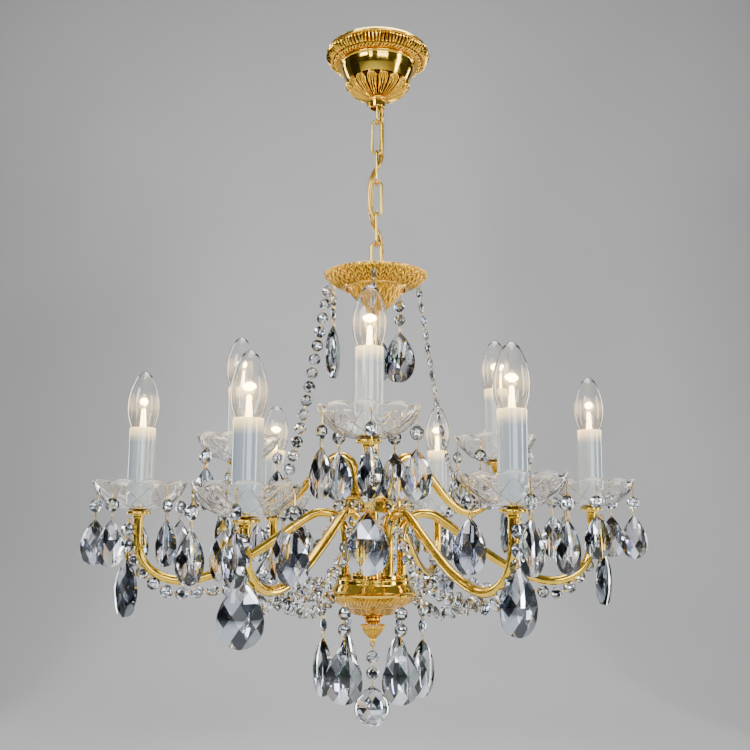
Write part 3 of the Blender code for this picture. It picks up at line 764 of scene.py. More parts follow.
def bowl_leaves(angle, share):
    """Relief of the bowl: a rim, a band of ribbed leaves, a raised crease and a band of pointed leaves."""
    u = across_leaf(angle, 24)
    body = max(0.0, 1 - (2 * u) ** 2) ** 0.5
    upper = (0.7 * body + 0.3 * math.cos(math.tau * (3 * u + 4 * share)) * body) * bump(share, 0.26, 0.14)
    v = abs(2 * across_leaf(angle, 16))
    leaf = 1 - ramp(v, 0.6 - 0.4 * ramp(share, 0.55, 0.95), 0.95 - 0.4 * ramp(share, 0.55, 0.95))
    lower = (0.7 * leaf + 0.35 * bump(v, 0, 0.12)) * bump(share, 0.74, 0.17)
    return upper + lower + 0.6 * bump(share, 0.03, 0.04) + 0.45 * bump(share, 0.49, 0.03)


def bowl():
    """The cast bowl that closes the base, and the knob under it with its ring of beads."""
    outside = [(49.8, -631.6), (48.6, -634.4), (45.2, -638.2), (37, -643.8), (27, -649.8), (19, -654.4),
               (11.5, -656.6)]
    inside = [(9.6, -657.4), (5.4, -657.4), (5.4, -655.6), (18.4, -653.4), (35.8, -643.2), (44, -637.4),
              (47.5, -631.3), (49.4, -631.3)]
    shape = Shape().add(relief(outside, inside, 480, 34, bowl_leaves))
    piece("base_bowl_cast", shape, CAST, "base_bowl")

    def flutes(angle, share):
        return 0.5 * (abs(math.cos(9 * angle)) - 0.4) * bump(share, 0.45, 0.45)

    knob = Shape()
    neck = [(0, -657), (9.6, -657.8), (10, -660), (8, -661.6), (7.4, -663), (8.4, -664.6), (0, -665)]
    knob.add(turned(neck, 64, 0.7, closed=False))
    outside = [(12.6, -667.6), (11.8, -670), (9, -674), (5.4, -678), (3.2, -680)]
    knob.add(relief(outside, [(0.5, -680), (0.5, -666.4), (12.4, -666.4)], 216, 16, flutes))
    beads_around(knob, 12.5, -666.7, 32, 1.35)
    knob.add(ball(3.3, 12, 24), Matrix.Translation((0, 0, -682 * MM)))
    eye = [(2.2 * math.cos(math.tau * k / 20), 0, -686.2 + 2.2 * math.sin(math.tau * k / 20))
           for k in range(20)]
    knob.add(tube(eye, 0.6, 8, cyclic=True))
    piece("finial_knob", knob, CAST, "finial")


# ---------------------------------------------------------------- arms and lights

# The middle of an arm's tube as (distance from the foot, height), as in the CAD model: from inside its drum
# down to its lowest point, and from there up to a cup at the tier's usual height
FALLS = {
    "lower": [(0, -624), (0, -600), (0, -576), (3, -559), (12.5, -548.5), (26, -545.5), (41, -550),
              (77, -575.5), (115, -600), (145, -613.5), (171, -618.5)],
    "upper": [(0, -534), (0, -514), (0.5, -502), (5, -489), (16, -482), (29, -485), (50, -504.5),
              (74, -529.5), (99, -542.5)],
}
RISES = {
    "lower": [(195, -613), (212, -598), (218.5, -577), (219, -558), (219, -542)],
    "upper": [(122, -537.5), (138, -521), (144, -502), (144, -482)],
}


def arm_route(label, reach, height):
    """The route of one hand bent arm, whose cup stands at a distance from the foot and at a height."""
    usual_reach, usual_height = RISES[label][-1]
    bottom = FALLS[label][-1][1]
    stretch = reach / usual_reach
    lift = (height + 1.6 - bottom) / (usual_height - bottom)
    falling = [(out * stretch, up) for out, up in FALLS[label]]
    return falling + [(out * stretch, bottom + (up - bottom) * lift) for out, up in RISES[label]]


def nut(plate):
    """The six sided nut and the washer at an arm's foot."""
    hexagon = [(4, plate + 5.5), (6.2, plate + 5.5), (7, plate + 4.8), (7, plate + 1), (4, plate + 1)]
    washer = [(4, plate + 1.2), (8.4, plate + 1.2), (8.4, plate + 0.2), (4, plate + 0.2)]
    return Shape().add(lathe(hexagon, 6), smooth=False).add(turned(washer, 32, 0.3))


def arm_shape(label, plate, reach, height):
    """One arm with its foot on the Z axis, reaching along -Y; its cup holds the dish and the lamp holder."""
    shape = nut(plate)
    line = curve([(0, -out, up) for out, up in arm_route(label, reach, height)], 4)
    shape.add(tube(line, ARM_RADIUS, 24))
    cup = [(0, -5), (5.6, -5), (6.3, -4.4), (6.3, -2), (7, -1.1), (11.8, -0.7), (12.6, 0.1), (12.6, 1.5),
           (12, 2.6), (10.6, 3.2), (4.6, 3.2), (4.6, 7.2), (11.6, 7.2), (11.6, 60), (7.4, 60), (7.4, 37),
           (0, 37)]
    shape.add(turned(cup, 48, 0.5, closed=False), Matrix.Translation((0, -reach * MM, height * MM)))
    return shape


def dish_meshes():
    """The pressed dish, whose ten round lobes meet in cusps, and the lines of painted shade along its
    crossed cuts.
    """
    outside = even(soften([(5.2, 3.6), (15.5, 3.6), (25, 6.2), (35.5, 12), (43.6, 20.2), (48.4, 31)], 3,
                          closed=False), 34)
    inside = even(soften([(46.6, 31.8), (41.8, 22), (34.2, 14.2), (24.4, 8.6), (14.8, 6), (5.2, 6)], 3,
                         closed=False), 16)
    profile = list(outside) + [Vector((47.9, 32.4))] + list(inside)

    def warp(angle, row):
        point = profile[row]
        share = ramp(point.x, 36, DISH_RADIUS - 1)
        lobe = 2 * abs(math.cos(DISH_LOBES * angle / 2)) ** 0.6 - 1
        out, up = point.x + 1.3 * share * lobe, point.y + 2.3 * share * lobe
        if row < len(outside):
            u = across_leaf(angle, DISH_LOBES) * 2
            v = (row / len(outside) - 0.62) / 0.25
            cross = max(bump(u, 0.9 * v, 0.11), bump(u, -0.9 * v, 0.11)) * (1 - ramp(abs(v), 0.85, 1.05))
            out -= 0.9 * cross
            up += 0.55 * abs(math.cos(15 * angle)) * bump(row / len(outside), 0.2, 0.14)
        return out, up

    # Lines of painted shade: thin dark tubes along each cut
    cuts = Shape()
    for lobe in range(DISH_LOBES):
        for lean in (-1, 1):
            line = []
            for row in range(round(0.39 * len(outside)), round(0.85 * len(outside)) + 1):
                v = (row / len(outside) - 0.62) / 0.25
                angle = (lobe + 0.5 + 0.45 * lean * v) * math.tau / DISH_LOBES
                out, up = warp(angle, row)
                out += 0.45
                line.append((out * math.sin(angle), -out * math.cos(angle), up - 0.2))
            cuts.add(tube(curve(line, 1), 0.28, 6))
    glass = Shape().add(lathe(profile, 300, True, warp))
    return glass.mesh("dish_glass", DISH), cuts.mesh("dish_cuts", CUT)


def sleeve_mesh():
    """The candle sleeve: a tube with a rolled top edge and a slightly wider foot."""
    bore = SLEEVE_RADIUS - 0.9
    profile = [(bore, SLEEVE_TOP - 0.5), (SLEEVE_RADIUS - 0.4, SLEEVE_TOP), (SLEEVE_RADIUS, SLEEVE_TOP - 1),
               (SLEEVE_RADIUS, SLEEVE_FOOT + 3), (SLEEVE_RADIUS + 0.4, SLEEVE_FOOT + 1.6),
               (SLEEVE_RADIUS + 0.4, SLEEVE_FOOT + 0.1), (bore, SLEEVE_FOOT + 0.1)]
    return Shape().add(turned(profile, 64, 0.4)).mesh("candle_sleeve", CANDLE)


def bulb_meshes():
    """The glass of a candle bulb, its screw cap with the wires, its glass stem and its coil."""
    wall = [(6.6, 70), (8.6, 78), (12, 90.5), (14.6, 97), (16.3, 104), (16.9, 111), (16.8, 118), (16.1, 124),
            (15, 129.4), (13.5, 134.4), (11.7, 139), (9.9, 143), (8.3, 146.2), (6.6, 148.9), (4.6, 151),
            (2.4, 152.3)]
    outer = even(soften(wall, 3, closed=False), 40)
    inner = [Vector((max(point.x - 0.6, 0.3), point.y - (0.8 if number > 35 else 0)))
             for number, point in enumerate(outer)]
    profile = [Vector((0, 152.8)), *reversed(outer), *inner, Vector((0, 151.6))]
    glass = Shape().add(lathe(profile, 40, False)).mesh("bulb_glass", BULB)
    cap = [(0, 72.6), (5.4, 72.4), (7, 71)]
    for thread in range(7):
        cap += [(7, 69.6 - 3.6 * thread), (6.3, 67.8 - 3.6 * thread)]
    cap += [(6.4, 43), (3, 41), (2.2, 39), (0, 38.4)]
    metal = Shape().add(turned(cap, 32, 0.6, closed=False))
    for side in (-1, 1):
        wire = [(side * 1.2, 0, 72), (side * 1.6, 0, 96), (side * 3.9, 0, 112),
                (side * 5.2, 0, FILAMENT_HEIGHT)]
        metal.add(tube(curve(wire, 3), 0.28, 6))
    metal.add(tube(curve([(0, 0, 96), (0, 0.8, 108), (0, 0.4, FILAMENT_HEIGHT + 2.2)], 3), 0.2, 6))
    mount = [(0, 112.5), (2.2, 111.5), (2.7, 104), (3.4, 94), (4.4, 84), (5.8, 73), (0, 73)]
    inside = Shape().add(turned(mount, 24, 1.0, closed=False))
    turns = 8
    points = 14 * turns
    spiral = []
    for step in range(points + 1):
        share = step / points
        angle = math.tau * turns * share
        wide = 1.0 + 2.4 * math.sin(math.pi * share)
        up = FILAMENT_HEIGHT + 0.6 + wide * math.sin(angle)
        spiral.append((12.5 * (share - 0.5), wide * math.cos(angle), up))
    coil = Shape().add(tube(spiral, 0.85, 8))
    return {"glass": glass, "cap": metal.mesh("bulb_metal", WIRE),
            "stem": inside.mesh("bulb_stem", STEM_GLASS), "coil": coil.mesh("bulb_coil", FILAMENT)}


def bulb_light(name, place, body):
    """The light that a bulb gives."""
    light = bpy.data.lights.new(name, "POINT")
    light.energy = 1.5
    light.color = (1.0, 0.74, 0.38)
    light.shadow_soft_size = 0.009
    obj = bpy.data.objects.new(name, light)
    obj.location = place + UP * FILAMENT_HEIGHT * MM
    obj.visible_camera = obj.visible_glossy = obj.visible_transmission = False
    bpy.context.scene.collection.objects.link(obj)
    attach(obj, body)


def arms_and_lights():
    """The arms of both tiers, each with its dish, sleeve and bulb."""
    (dish, cuts), sleeve, bulb = dish_meshes(), sleeve_mesh(), bulb_meshes()
    for label, plate in (("lower", -617), ("upper", -528)):
        for number, (foot, aim, cup) in enumerate(arm_places(label), start=1):
            reach = (Vector(cup.xy) - Vector(foot.xy)).length / MM
            arm = arm_shape(label, plate, reach, cup.z / MM)
            here = at(cup, aim)
            piece(f"{label}_arm_{number}_tube", arm, BRASS, f"{label}_arm_{number}", "hanging",
                  at((foot.x, foot.y, 0), aim))
            for name, part, mesh in (("dish", "glass", dish), ("dish", "cuts", cuts),
                                     ("candle", "sleeve", sleeve)):
                stands_for = f"{label}_{name}_{number}"
                placed(f"{stands_for}_{part}", mesh, stands_for, "hanging", here)
            body = f"{label}_bulb_{number}"
            for part, mesh in bulb.items():
                placed(f"{body}_{part}", mesh, body, body, here)
            bulb_light(f"{body}_light", cup, body)


# ---------------------------------------------------------------- cut crystal


def level_heights(shares, count, girdle, first):
    """Heights of a stone's rings that leave its diamond facets flat."""
    near = math.cos(math.pi / count)
    heights = [girdle, first]
    for k in range(len(shares) - 2):
        slope = (heights[k + 1] - heights[k]) / (shares[k] - shares[k + 1] * near)
        heights.append(heights[k] + slope * (shares[k] - shares[k + 2]))
    return heights


def stone(outline, centre, shares, girdle, first):
    """A stone cut alike on both faces. The outline is in the XZ plane, with two points for each facet."""
    count = len(outline) // 2
    heights = level_heights(shares, count, girdle, first)
    verts, faces = [], []
    for side in (-1, 1):
        base = len(verts)
        for number, (share, height) in enumerate(zip(shares, heights)):
            for step in range(count):
                point = outline[2 * step + number % 2]
                spot = centre + (point - centre) * share
                verts.append((spot.x, side * height, spot.y))
        last = len(shares) - 1

        def corner(ring, step):
            return base + ring * count + step % count

        for step in range(count):
            faces.append([corner(0, step), corner(1, step), corner(0, step + 1)])
            for ring in range(last - 1):
                back = step - 1 if ring % 2 == 0 else step
                faces.append([corner(ring, step), corner(ring + 1, back + 1), corner(ring + 2, step),
                              corner(ring + 1, back)])
            shift = 1 if last % 2 == 0 else 0
            faces.append([corner(last, step), corner(last, step + 1), corner(last - 1, step + 1 - shift)])
        faces.append([corner(last, step) for step in range(count)])
    for step in range(count):
        follow = (step + 1) % count
        faces.append([step, follow, follow + count * len(shares), step + count * len(shares)])
    return verts, faces


def pear_outline(length, width, count):
    """The outline of a pear drop that hangs from its point at the origin."""
    widest = 0.4015  # the most that the outline's formula gives
    half = []
    for step in range(41):
        share = math.sin(math.pi / 2 * step / 40) ** 2
        half.append(Vector((width / 2 * share ** 0.9 * math.sqrt(1 - share) / widest, -length * share)))
    loop = half + [Vector((-point.x, point.y)) for point in reversed(half[:-1])]
    return even(loop, 2 * count + 1)[:-1]


def cut_block(half, planes):
    """A block cut along planes, each given as (point, outward direction)."""
    work = bmesh.new()
    bmesh.ops.create_cube(work, size=2)
    bmesh.ops.scale(work, vec=half, verts=work.verts)
    for point, outward in planes:
        whole = work.verts[:] + work.edges[:] + work.faces[:]
        cut = bmesh.ops.bisect_plane(work, geom=whole, dist=0.0001, plane_co=point, plane_no=outward,
                                     clear_outer=True)
        edges = [item for item in cut["geom_cut"] if isinstance(item, bmesh.types.BMEdge)]
        if edges:
            bmesh.ops.contextual_create(work, geom=edges)
    work.verts.index_update()
    verts = [tuple(vertex.co) for vertex in work.verts]
    faces = [[vertex.index for vertex in face.verts] for face in work.faces]
    work.free()
    return verts, faces


def drop(size):
    """A pear drop, with its point at the origin; both of its domed faces are cut into rows of diamonds."""
    length, width, thick = size
    wide, tall, rise = width / 2, 0.51 * length, 0.87
    middle = -0.53 * length
    planes = []
    outline = pear_outline(length, width, 11)
    for number, point in enumerate(outline):
        follow = outline[(number + 1) % len(outline)]
        along = follow - point
        planes.append(((point.x, 0, point.y), (-along.y, 0, along.x)))
    across = width / 3
    down = across * tall / wide / 2
    for side in (-1, 1):
        for row in range(-3, 4):
            for column in range(-2, 3):
                x, z = (column + 0.5 * (row % 2)) * across, row * down
                if (x / wide) ** 2 + (z / tall) ** 2 > 1.25:
                    continue
                height = thick / 2 * (1 - rise * ((x / wide) ** 2 + (z / tall) ** 2))
                slope_x, slope_z = thick * rise * x / wide ** 2, thick * rise * z / tall ** 2
                planes.append(((x, side * height, middle + z), (slope_x, side, slope_z)))
    return cut_block((width, thick, 1.1 * length), planes)


def octagon():
    """An eight sided bead with its middle at the origin."""
    outline = []
    for step in range(8):
        corner = math.tau * (step + 0.5) / 8
        follow = math.tau * (step + 1.5) / 8
        spots = [Vector((math.sin(angle), math.cos(angle))) * BEAD_RADIUS for angle in (corner, follow)]
        outline += [spots[0], (spots[0] + spots[1]) / 2]
    return stone(outline, Vector((0, 0)), (1, 0.78, 0.46), 0.6, 1.9)


def faceted_ball(radius):
    """A round crystal with rows of triangular facets and a small point at its top."""
    rows = [(0, radius * 1.16), (0.18 * radius, radius * 1.04)]
    count, levels = 12, 9
    for level in range(1, levels):
        angle = math.pi * (level + 0.35) / (levels + 0.35)
        rows.append((radius * math.sin(angle), radius * math.cos(angle)))
    rows.append((0, -radius))
    verts, rings, faces = [], [], []
    for number, (out, up) in enumerate(rows):
        size = count if out > 0 else 1
        rings.append([len(verts) + step for step in range(size)])
        for step in range(size):
            angle = math.tau * (step + 0.5 * (number % 2)) / count
            verts.append((out * math.sin(angle), -out * math.cos(angle), up))
    for number, (ring, below) in enumerate(zip(rings, rings[1:])):
        shift = number % 2
        for step in range(count):
            a, b = ring[step % len(ring)], ring[(step + 1) % len(ring)]
            c, d = below[(step + shift) % len(below)], below[(step + 1) % len(below)]
            if len(ring) > 1:
                faces.append([a, b, c])
            if len(below) > 1:
                faces.append([below[step % len(below)], d, ring[(step + 1 - shift) % len(ring)]])
    return verts, faces


def with_painted_facet_light(mesh, mirrored):
    """Gives each facet painted light: a share of them mirrors the room in dark or bright tones, and others
    get grey painted shade or tints as painted glints of dispersion.
    """
    tints = [(1.0, 0.55, 0.25), (1.0, 0.85, 0.35), (0.45, 0.95, 0.6), (0.42, 0.66, 1.0), (0.68, 0.5, 1.0)]
    for name, kind in (("painted_facet_light", "FLOAT_COLOR"), ("mirror", "FLOAT")):
        mesh.attributes.new(name, kind, "FACE")
    painted_facet_light, mirror = mesh.attributes["painted_facet_light"], mesh.attributes["mirror"]
    for face in range(len(mesh.polygons)):
        shiny = random.random() < mirrored
        draw = random.random()
        if shiny:
            # Painted reflection: a mirrored facet gets a dark or bright tone
            tone = random.choice((0.03, 0.08, 0.35, 0.6, 0.85, 1.0, 1.0))
            color = (0.86 * tone, 0.94 * tone, 1.1 * tone)
        # Painted shade on a grey facet, or a tint as a painted glint of dispersion
        elif draw < 0.2:
            tone = 0.2 + 0.35 * random.random()
            color = (0.92 * tone, 0.96 * tone, 1.1 * tone)
        elif draw < 0.42:
            amount = 0.3 + 0.6 * random.random()
            color = [1 - amount + amount * value for value in random.choice(tints)]
        else:
            tone = 0.95 + 0.05 * random.random()
            color = (tone, tone, tone)
        painted_facet_light.data[face].color = (*[min(value, 1.0) for value in color], 1)
        mirror.data[face].value = 0.8 if shiny else 0.0
    return mesh


def crystal_mesh(name, parts, mirrored=FEW_MIRRORS):
    """One mesh of stones, each given as (part, matrix); a share of their facets is mirrored."""
    shape = Shape()
    for part, matrix in parts:
        shape.add(part, matrix, smooth=False)
    return with_painted_facet_light(shape.mesh(name, CRYSTAL), mirrored)


def wire_loop(high, low, depth=1.9, radius=0.42):
    """A closed loop of pin wire between two heights, lying in the YZ plane."""
    middle, half = (high + low) / 2, (high - low) / 2
    route = []
    for step in range(14):
        angle = math.tau * step / 14
        out = depth * math.cos(angle) * (1 - 0.35 * abs(math.sin(angle)))
        route.append((0, out, middle + half * math.sin(angle)))
    return tube(route, radius, 6, cyclic=True)


def hook(height):
    """A wire hook from a hole at the origin down to a height."""
    eye = [(0, 1.6 * math.cos(math.tau * k / 10), 1.6 * math.sin(math.tau * k / 10) - 0.6)
           for k in range(10)]
    shank = [(0, 0.2, -1.8), (0.3, 0.6, (height - 2) / 2), (0, 0, height)]
    return [tube(eye, 0.5, 6, cyclic=True), tube(curve(shank, 2), 0.5, 6)]


def pendant_meshes(name, size, first, count):
    """A hook, a number of octagons and a pear drop, all in the XZ plane: the stones and their wires."""
    stones, wires = [], Shape()
    for part in hook(-first + BEAD_RADIUS - 1):
        wires.add(part)
    for number in range(count):
        level = -first - BEAD_PITCH * number
        stones.append((octagon(), Matrix.Translation((0, 0, level * MM))))
        wires.add(wire_loop(level + BEAD_RADIUS + 1.2, level + BEAD_RADIUS - 2))
        lowest = level - BEAD_PITCH + BEAD_RADIUS - 1.8 if number < count - 1 else level - 17.6
        wires.add(wire_loop(level - BEAD_RADIUS + 2, lowest))
    top = -first - BEAD_PITCH * (count - 1) - 14
    stones.append((drop(size), Matrix.Translation((0, 0, top * MM))))
    mirrored = FEW_MIRRORS if size is SMALL_DROP else MANY_MIRRORS
    return crystal_mesh(name, stones, mirrored), wires.mesh(name + "_wire", WIRE)


def hang(name, meshes, spot, facing):
    """Hangs a pendant at a spot, its broad face towards an angle."""
    here = at(spot, facing + random.uniform(-0.16, 0.16))
    for ending, mesh in zip(("", "_wire"), meshes):
        placed(name + ending, mesh, matrix=here)


# Where the five drops of each dish hang, as angles from -Y in degrees
DISH_DROPS = {
    "lower_1": (-62, 10, 82, 154, 226), "lower_2": (-78, -6, 66, 138, 210),
    "lower_3": (17, 89, 161, 233, 305), "lower_4": (-20, 52, 124, 196, 268),
    "lower_5": (-93, -21, 51, 123, 195), "lower_6": (-147, -75, -3, 69, 141),
    "upper_1": (-141, -69, 3, 75, 147), "upper_2": (-30, 42, 114, 186, 258),
    "upper_3": (-42, 30, 102, 174, 246),
}
# On which side of its cup each large drop hangs, and the way that it faces, in degrees from -Y
CUP_DROPS = {
    "lower_1": (8, 32), "lower_2": (98, 46), "lower_3": (161, 150), "lower_4": (212, 205),
    "lower_5": (322, -44), "lower_6": (358, -4), "upper_1": (-2, 8), "upper_2": (122, 100),
    "upper_3": (251, 240),
}


def dish_pendants():
    """The small drops around each dish, of four makes in turn, and the large one on a hook at each cup."""
    small = [pendant_meshes(f"small_pendant_{number}", SMALL_DROP, 19, 1) for number in range(4)]
    large = pendant_meshes("cup_pendant", CUP_DROP, 10.5, 2)
    front = pendant_meshes("front_pendant", CUP_DROP, 10.5, 3)
    for label in TIERS:
        for number, (_, _, cup) in enumerate(arm_places(label), start=1):
            key = f"{label}_{number}"
            for count, degrees in enumerate(DISH_DROPS[key], start=1):
                angle = math.radians(degrees)
                facing = random.uniform(-0.75, 0.75)
                meshes = small[(number + count) % len(small)]
                hang(f"{key}_drop_{count}", meshes, cup + polar(46.6, angle, 27), facing)
            side, face = (math.radians(degrees) for degrees in CUP_DROPS[key])
            meshes = front if key == "upper_1" else large
            hang(f"{key}_cup_drop", meshes, cup + polar(12.6, side, -6), face)


def centre_pendants():
    """The large drops under the crown and around the bowl."""
    large = pendant_meshes("large_pendant", LARGE_DROP, 14, 2)
    for number, degrees in enumerate((145, 180, 256), start=1):
        angle = math.radians(degrees)
        hang(f"crown_drop_{number}", large, polar(50, angle, -288), angle + math.pi)
    for number, degrees in enumerate((33, 92, 148, 212, 268, 327), start=1):
        angle = math.radians(degrees)
        spot = polar(54, angle, -636)
        hang(f"bowl_drop_{number}", large, spot, angle - 0.7 * math.sin(angle))
        rim_hook = [(0, 4.6, 2.4), (0, 2.4, 3.8), (0, 0.6, 2.6), (0, 0, 0.6)]
        shape = Shape().add(tube(curve(rim_hook, 1), 0.6, 8))
        piece(f"bowl_hook_{number}", shape, WIRE, matrix=at(spot, angle))


def string_of_beads(name, route, face=(0, -1, 0), spread=0.45):
    """Octagons on wire along a route in metres; their broad faces look towards a direction."""
    fine = curve([Vector(point) / MM for point in route], 1)
    length = sum((b - a).length for a, b in zip(fine, fine[1:]))
    count = max(1, round(length / BEAD_PITCH))
    spots = even(fine, 2 * count + 1)
    stones, wires = [], Shape()
    for number, spot in enumerate(spots):
        before, after = spots[max(number - 1, 0)], spots[min(number + 1, len(spots) - 1)]
        along = (after - before).normalized()
        look = Vector(face) - along * along.dot(Vector(face))
        if look.length < 0.1:
            look = along.orthogonal()
        look.normalize()
        turn = Matrix.Rotation(random.uniform(-spread, spread), 3, along)
        look = turn @ look
        side = along.cross(look)
        frame_of = Matrix((side, look, along)).transposed().to_4x4()
        here = Matrix.Translation(spot * MM) @ frame_of
        if number % 2:
            stones.append((octagon(), here))
        else:
            reach = BEAD_PITCH / 2 - BEAD_RADIUS + 2.2
            wires.add(wire_loop(reach, -reach), here)
    placed(name, crystal_mesh(name, stones))
    piece(name + "_wire", wires, WIRE)


# The lines of the beads along a lower arm and down to an upper one, as (distance from the stem, height),
# and the distance from the stem to a cup that they fit; on other arms they stretch
ARM_BEADS = [(37, -530), (43, -558), (55, -573), (66, -593), (82, -607), (97, -618), (111, -622),
             (131, -628), (160, -628), (187, -630), (209, -632), (226, -622), (242, -605), (252, -590),
             (260, -572), (259, -551)]
CROWN_BEADS = [(57, -281), (70, -350), (85, -428), (97, -478), (110, -520), (117, -534)]
BEADS_REACH = {"lower": 249, "upper": 168}
# Which way the broad faces of each crown string's beads look
CROWN_BEAD_FACES = [(1, 0.2, 0), (1, -0.15, 0), (0.1, -1, 0)]
# At what angle each short string leaves the bowl's rim, and the lower arm that it runs to
BOWL_BEADS = [(62.5, 1), (-57.5, 6), (122, 3), (-122, 4)]


def outward(cup, label):
    """The level direction from the stem to a cup, and its distance against the one that the beads fit."""
    return Vector((cup.x, cup.y, 0)).normalized(), Vector(cup.xy).length / MM / BEADS_REACH[label]


def bead_strings():
    """The strings along the lower arms, from the crown to the upper arms, and out from the bowl's rim."""
    usual_height = RISES["lower"][-1][1]
    lower = [cup for _, _, cup in arm_places("lower")]
    for number, cup in enumerate(lower, start=1):
        out, reach = outward(cup, "lower")
        side = UP.cross(out)
        swerve = side * 7 * MM * (1 if number % 2 else -1)
        sink = UP * (cup.z - usual_height * MM)
        route = [out * out_mm * reach * MM + swerve * bump(out_mm, 130, 70) + UP * up * MM
                 + sink * ramp(out_mm, 205, 255) for out_mm, up in ARM_BEADS]
        string_of_beads(f"arm_beads_{number}", route, (-0.2 * out.x, -1, 0.2))
    for number, (_, _, cup) in enumerate(arm_places("upper"), start=1):
        out, reach = outward(cup, "upper")
        route = [out * out_mm * reach * MM + UP * up * MM for out_mm, up in CROWN_BEADS]
        string_of_beads(f"crown_beads_{number}", route, CROWN_BEAD_FACES[number - 1], 0.25)
    for number, (degrees, arm) in enumerate(BOWL_BEADS, start=1):
        cup = lower[arm - 1]
        start = polar(50, math.radians(degrees), -631)
        end = Vector((cup.x, cup.y, 0)) * (205 / BEADS_REACH["lower"]) + UP * -0.627
        sags = [start.lerp(end, share) + UP * -sag
                for share, sag in ((0.15, 0.011), (0.42, 0.016), (0.75, 0.008))]
        string_of_beads(f"bowl_beads_{number}", [start, *sags, end])


def ball_drop():
    """The ball under the finial, on two octagons; its ring turns on the finial's eye."""
    pivot = Vector(JOINTS["drop_swing"]["pos_m"])
    high = pivot.z / MM
    upper, lower, middle = -699.5 - high, -716.5 - high, -751.5 - high
    stones = [(octagon(), Matrix.Translation((0, 0, level * MM))) for level in (upper, lower)]
    stones.append((faceted_ball(BALL_RADIUS), Matrix.Translation((0, 0, middle * MM))))
    placed("drop_ball_crystal", crystal_mesh("drop_ball", stones), "drop_ball", "drop_ball",
           Matrix.Translation(pivot))
    wires = Shape()
    centre = 0.6 + 0.55 + 0.3 - 2.4
    ring = [(0, 2.4 * math.cos(math.tau * k / 16), centre + 2.4 * math.sin(math.tau * k / 16))
            for k in range(16)]
    wires.add(tube(ring, 0.55, 8, cyclic=True))
    for top, bottom in ((centre - 2.2, upper + 5), (upper - 5, lower + 5), (lower - 5, middle + 20.1)):
        wires.add(wire_loop(top, bottom))
    piece("drop_ball_wire", wires, WIRE, "drop_ball", "drop_ball", Matrix.Translation(pivot))


# ---------------------------------------------------------------- floor, lights and camera


def floor():
    """A pale floor that sweeps up into the backdrop."""
    material, tree, shader = new_material("studio_floor")
    painted(tree, shader, noise(tree, 1.3, 2), (0.3, (0.70, 0.70, 0.71)), (0.7, (0.74, 0.74, 0.74)))
    worn(tree, shader, noise(tree, 4, 2), 0.6, 0.75)
    line = curve([(-3200, -1150), (0, -1150), (1500, -1150), (2300, -1060), (2900, -640), (3150, 0),
                  (3200, 900), (3200, 3000)], 120)
    verts = [(x, point.x, point.y) for point in line for x in (-5000, 5000)]
    faces = [[2 * k, 2 * k + 1, 2 * k + 3, 2 * k + 2] for k in range(len(line) - 1)]
    mesh = Shape().add((verts, faces)).mesh("studio_floor", material)
    obj = bpy.data.objects.new("studio_floor", mesh)
    bpy.context.scene.collection.objects.link(obj)


def surroundings():
    """A soft grey world that is brighter above."""
    world = bpy.data.worlds.new("studio")
    world.use_nodes = True
    bpy.context.scene.world = world
    tree = world.node_tree
    way = node(tree, "SeparateXYZ", Vector=node(tree, "TexCoord").outputs["Generated"]).outputs["Z"]
    tone = colors(tree, ranged(tree, way, 0.0, 1.0, -0.6, 1.0),
                  (0.0, (0.05, 0.05, 0.055)), (0.45, (0.08, 0.08, 0.085)), (1.0, (0.30, 0.31, 0.33)))
    back = tree.nodes["Background"]
    tree.links.new(tone, back.inputs["Color"])
    back.inputs["Strength"].default_value = 0.9


def softbox(name, spot, target, size, power, color=(1, 1, 1)):
    """A rectangular light that the camera doesn't see."""
    light = bpy.data.lights.new(name, "AREA")
    light.shape = "RECTANGLE"
    light.size, light.size_y = size
    light.energy = power
    light.color = color
    obj = bpy.data.objects.new(name, light)
    obj.location = spot
    obj.rotation_euler = (Vector(target) - Vector(spot)).to_track_quat("-Z", "Y").to_euler()
    obj.visible_camera = False
    bpy.context.scene.collection.objects.link(obj)


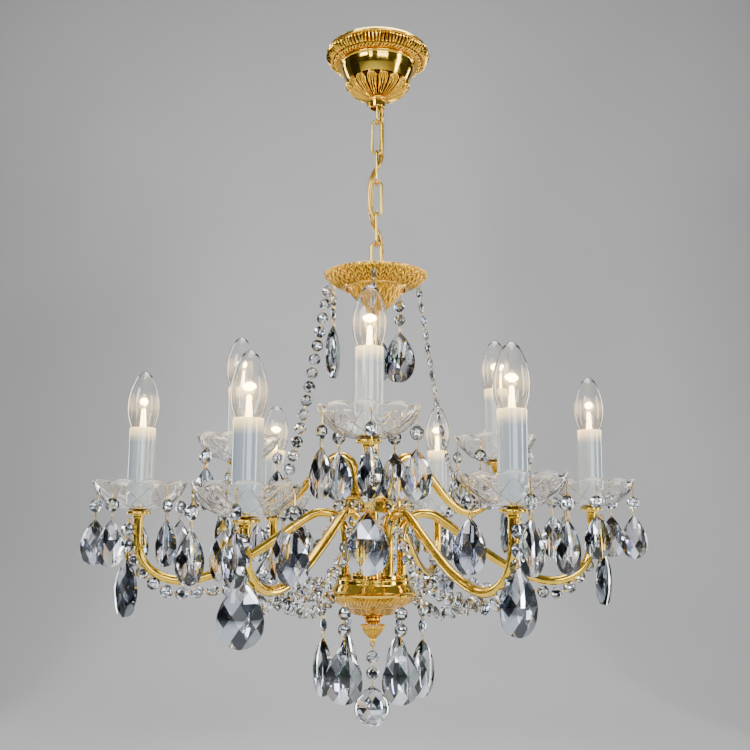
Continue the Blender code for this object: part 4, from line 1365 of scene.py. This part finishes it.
def black_card(name, spot, size):
    """An upright black card out of the picture, which gives the crystal its dark facets."""
    material, tree, shader = new_material(name, Roughness=0.9)
    painted(tree, shader, noise(tree, 3, 2), (0.3, (0.006, 0.006, 0.006)), (0.7, (0.012, 0.012, 0.012)))
    width, height = size
    verts = [(x * width * 500, 0, z * height * 500) for x, z in ((-1, -1), (1, -1), (1, 1), (-1, 1))]
    obj = bpy.data.objects.new(name, Shape().add((verts, [[0, 1, 2, 3]])).mesh(name, material))
    obj.location = spot
    obj.rotation_euler.z = math.atan2(spot[1], spot[0]) + math.pi / 2
    obj.visible_camera = False
    bpy.context.scene.collection.objects.link(obj)


def studio():
    """The studio's softboxes, and the black cards beside and behind the light.

    The key stands in front on the left, a tall one on the right, two windows in front, one above, a strip
    behind on each side, and one lights the backdrop.
    """
    middle = (0, 0, -0.45)
    softbox("key", (-1.7, -1.9, 0.7), middle, (1.0, 1.2), 55)
    softbox("side", (2.1, -0.9, -0.1), middle, (0.4, 1.6), 30)
    softbox("window", (0.6, -2.3, 0.05), middle, (1.3, 0.8), 26)
    softbox("left_window", (-0.85, -2.2, 0.05), middle, (0.35, 0.8), 7)
    softbox("top", (0.2, 0.3, 1.2), middle, (1.2, 0.9), 26)
    softbox("left_strip", (-1.15, 0.75, -0.3), middle, (0.16, 1.5), 9)
    softbox("right_strip", (1.2, 0.7, -0.5), middle, (0.14, 1.3), 8)
    softbox("backdrop", (0, 1.2, 1.6), (0, 3.1, -0.6), (2.6, 0.5), 14)
    black_card("card_left", (-1.5, 0.95, -0.2), (1.1, 1.9))
    black_card("card_right", (1.5, 0.95, -0.2), (1.1, 1.9))
    black_card("card_far_left", (-2.0, -0.4, -0.2), (1.2, 1.9))


def camera():
    """The photograph's view: from the front and a little below the candles, looking up by nine degrees."""
    lens = bpy.data.cameras.new("camera")
    lens.lens = 45.55
    lens.sensor_width = 36
    obj = bpy.data.objects.new("camera", lens)
    obj.matrix_world = (Matrix.Translation((0, -1.060, -0.559)) @ Matrix.Rotation(math.radians(99), 4, "X")
                        @ Matrix.Rotation(math.radians(0.5), 4, "Z"))
    bpy.context.scene.collection.objects.link(obj)
    bpy.context.scene.camera = obj


def corners(box):
    """A box as two plain lists of numbers."""
    return [[round(value, 5) for value in corner] for corner in box]


camera()
surroundings()
studio()
floor()
ceiling_parts()
canopy()
chain()
cable()
crown()
stem_and_drums()
bowl()
arms_and_lights()
dish_pendants()
centre_pendants()
bead_strings()
ball_drop()
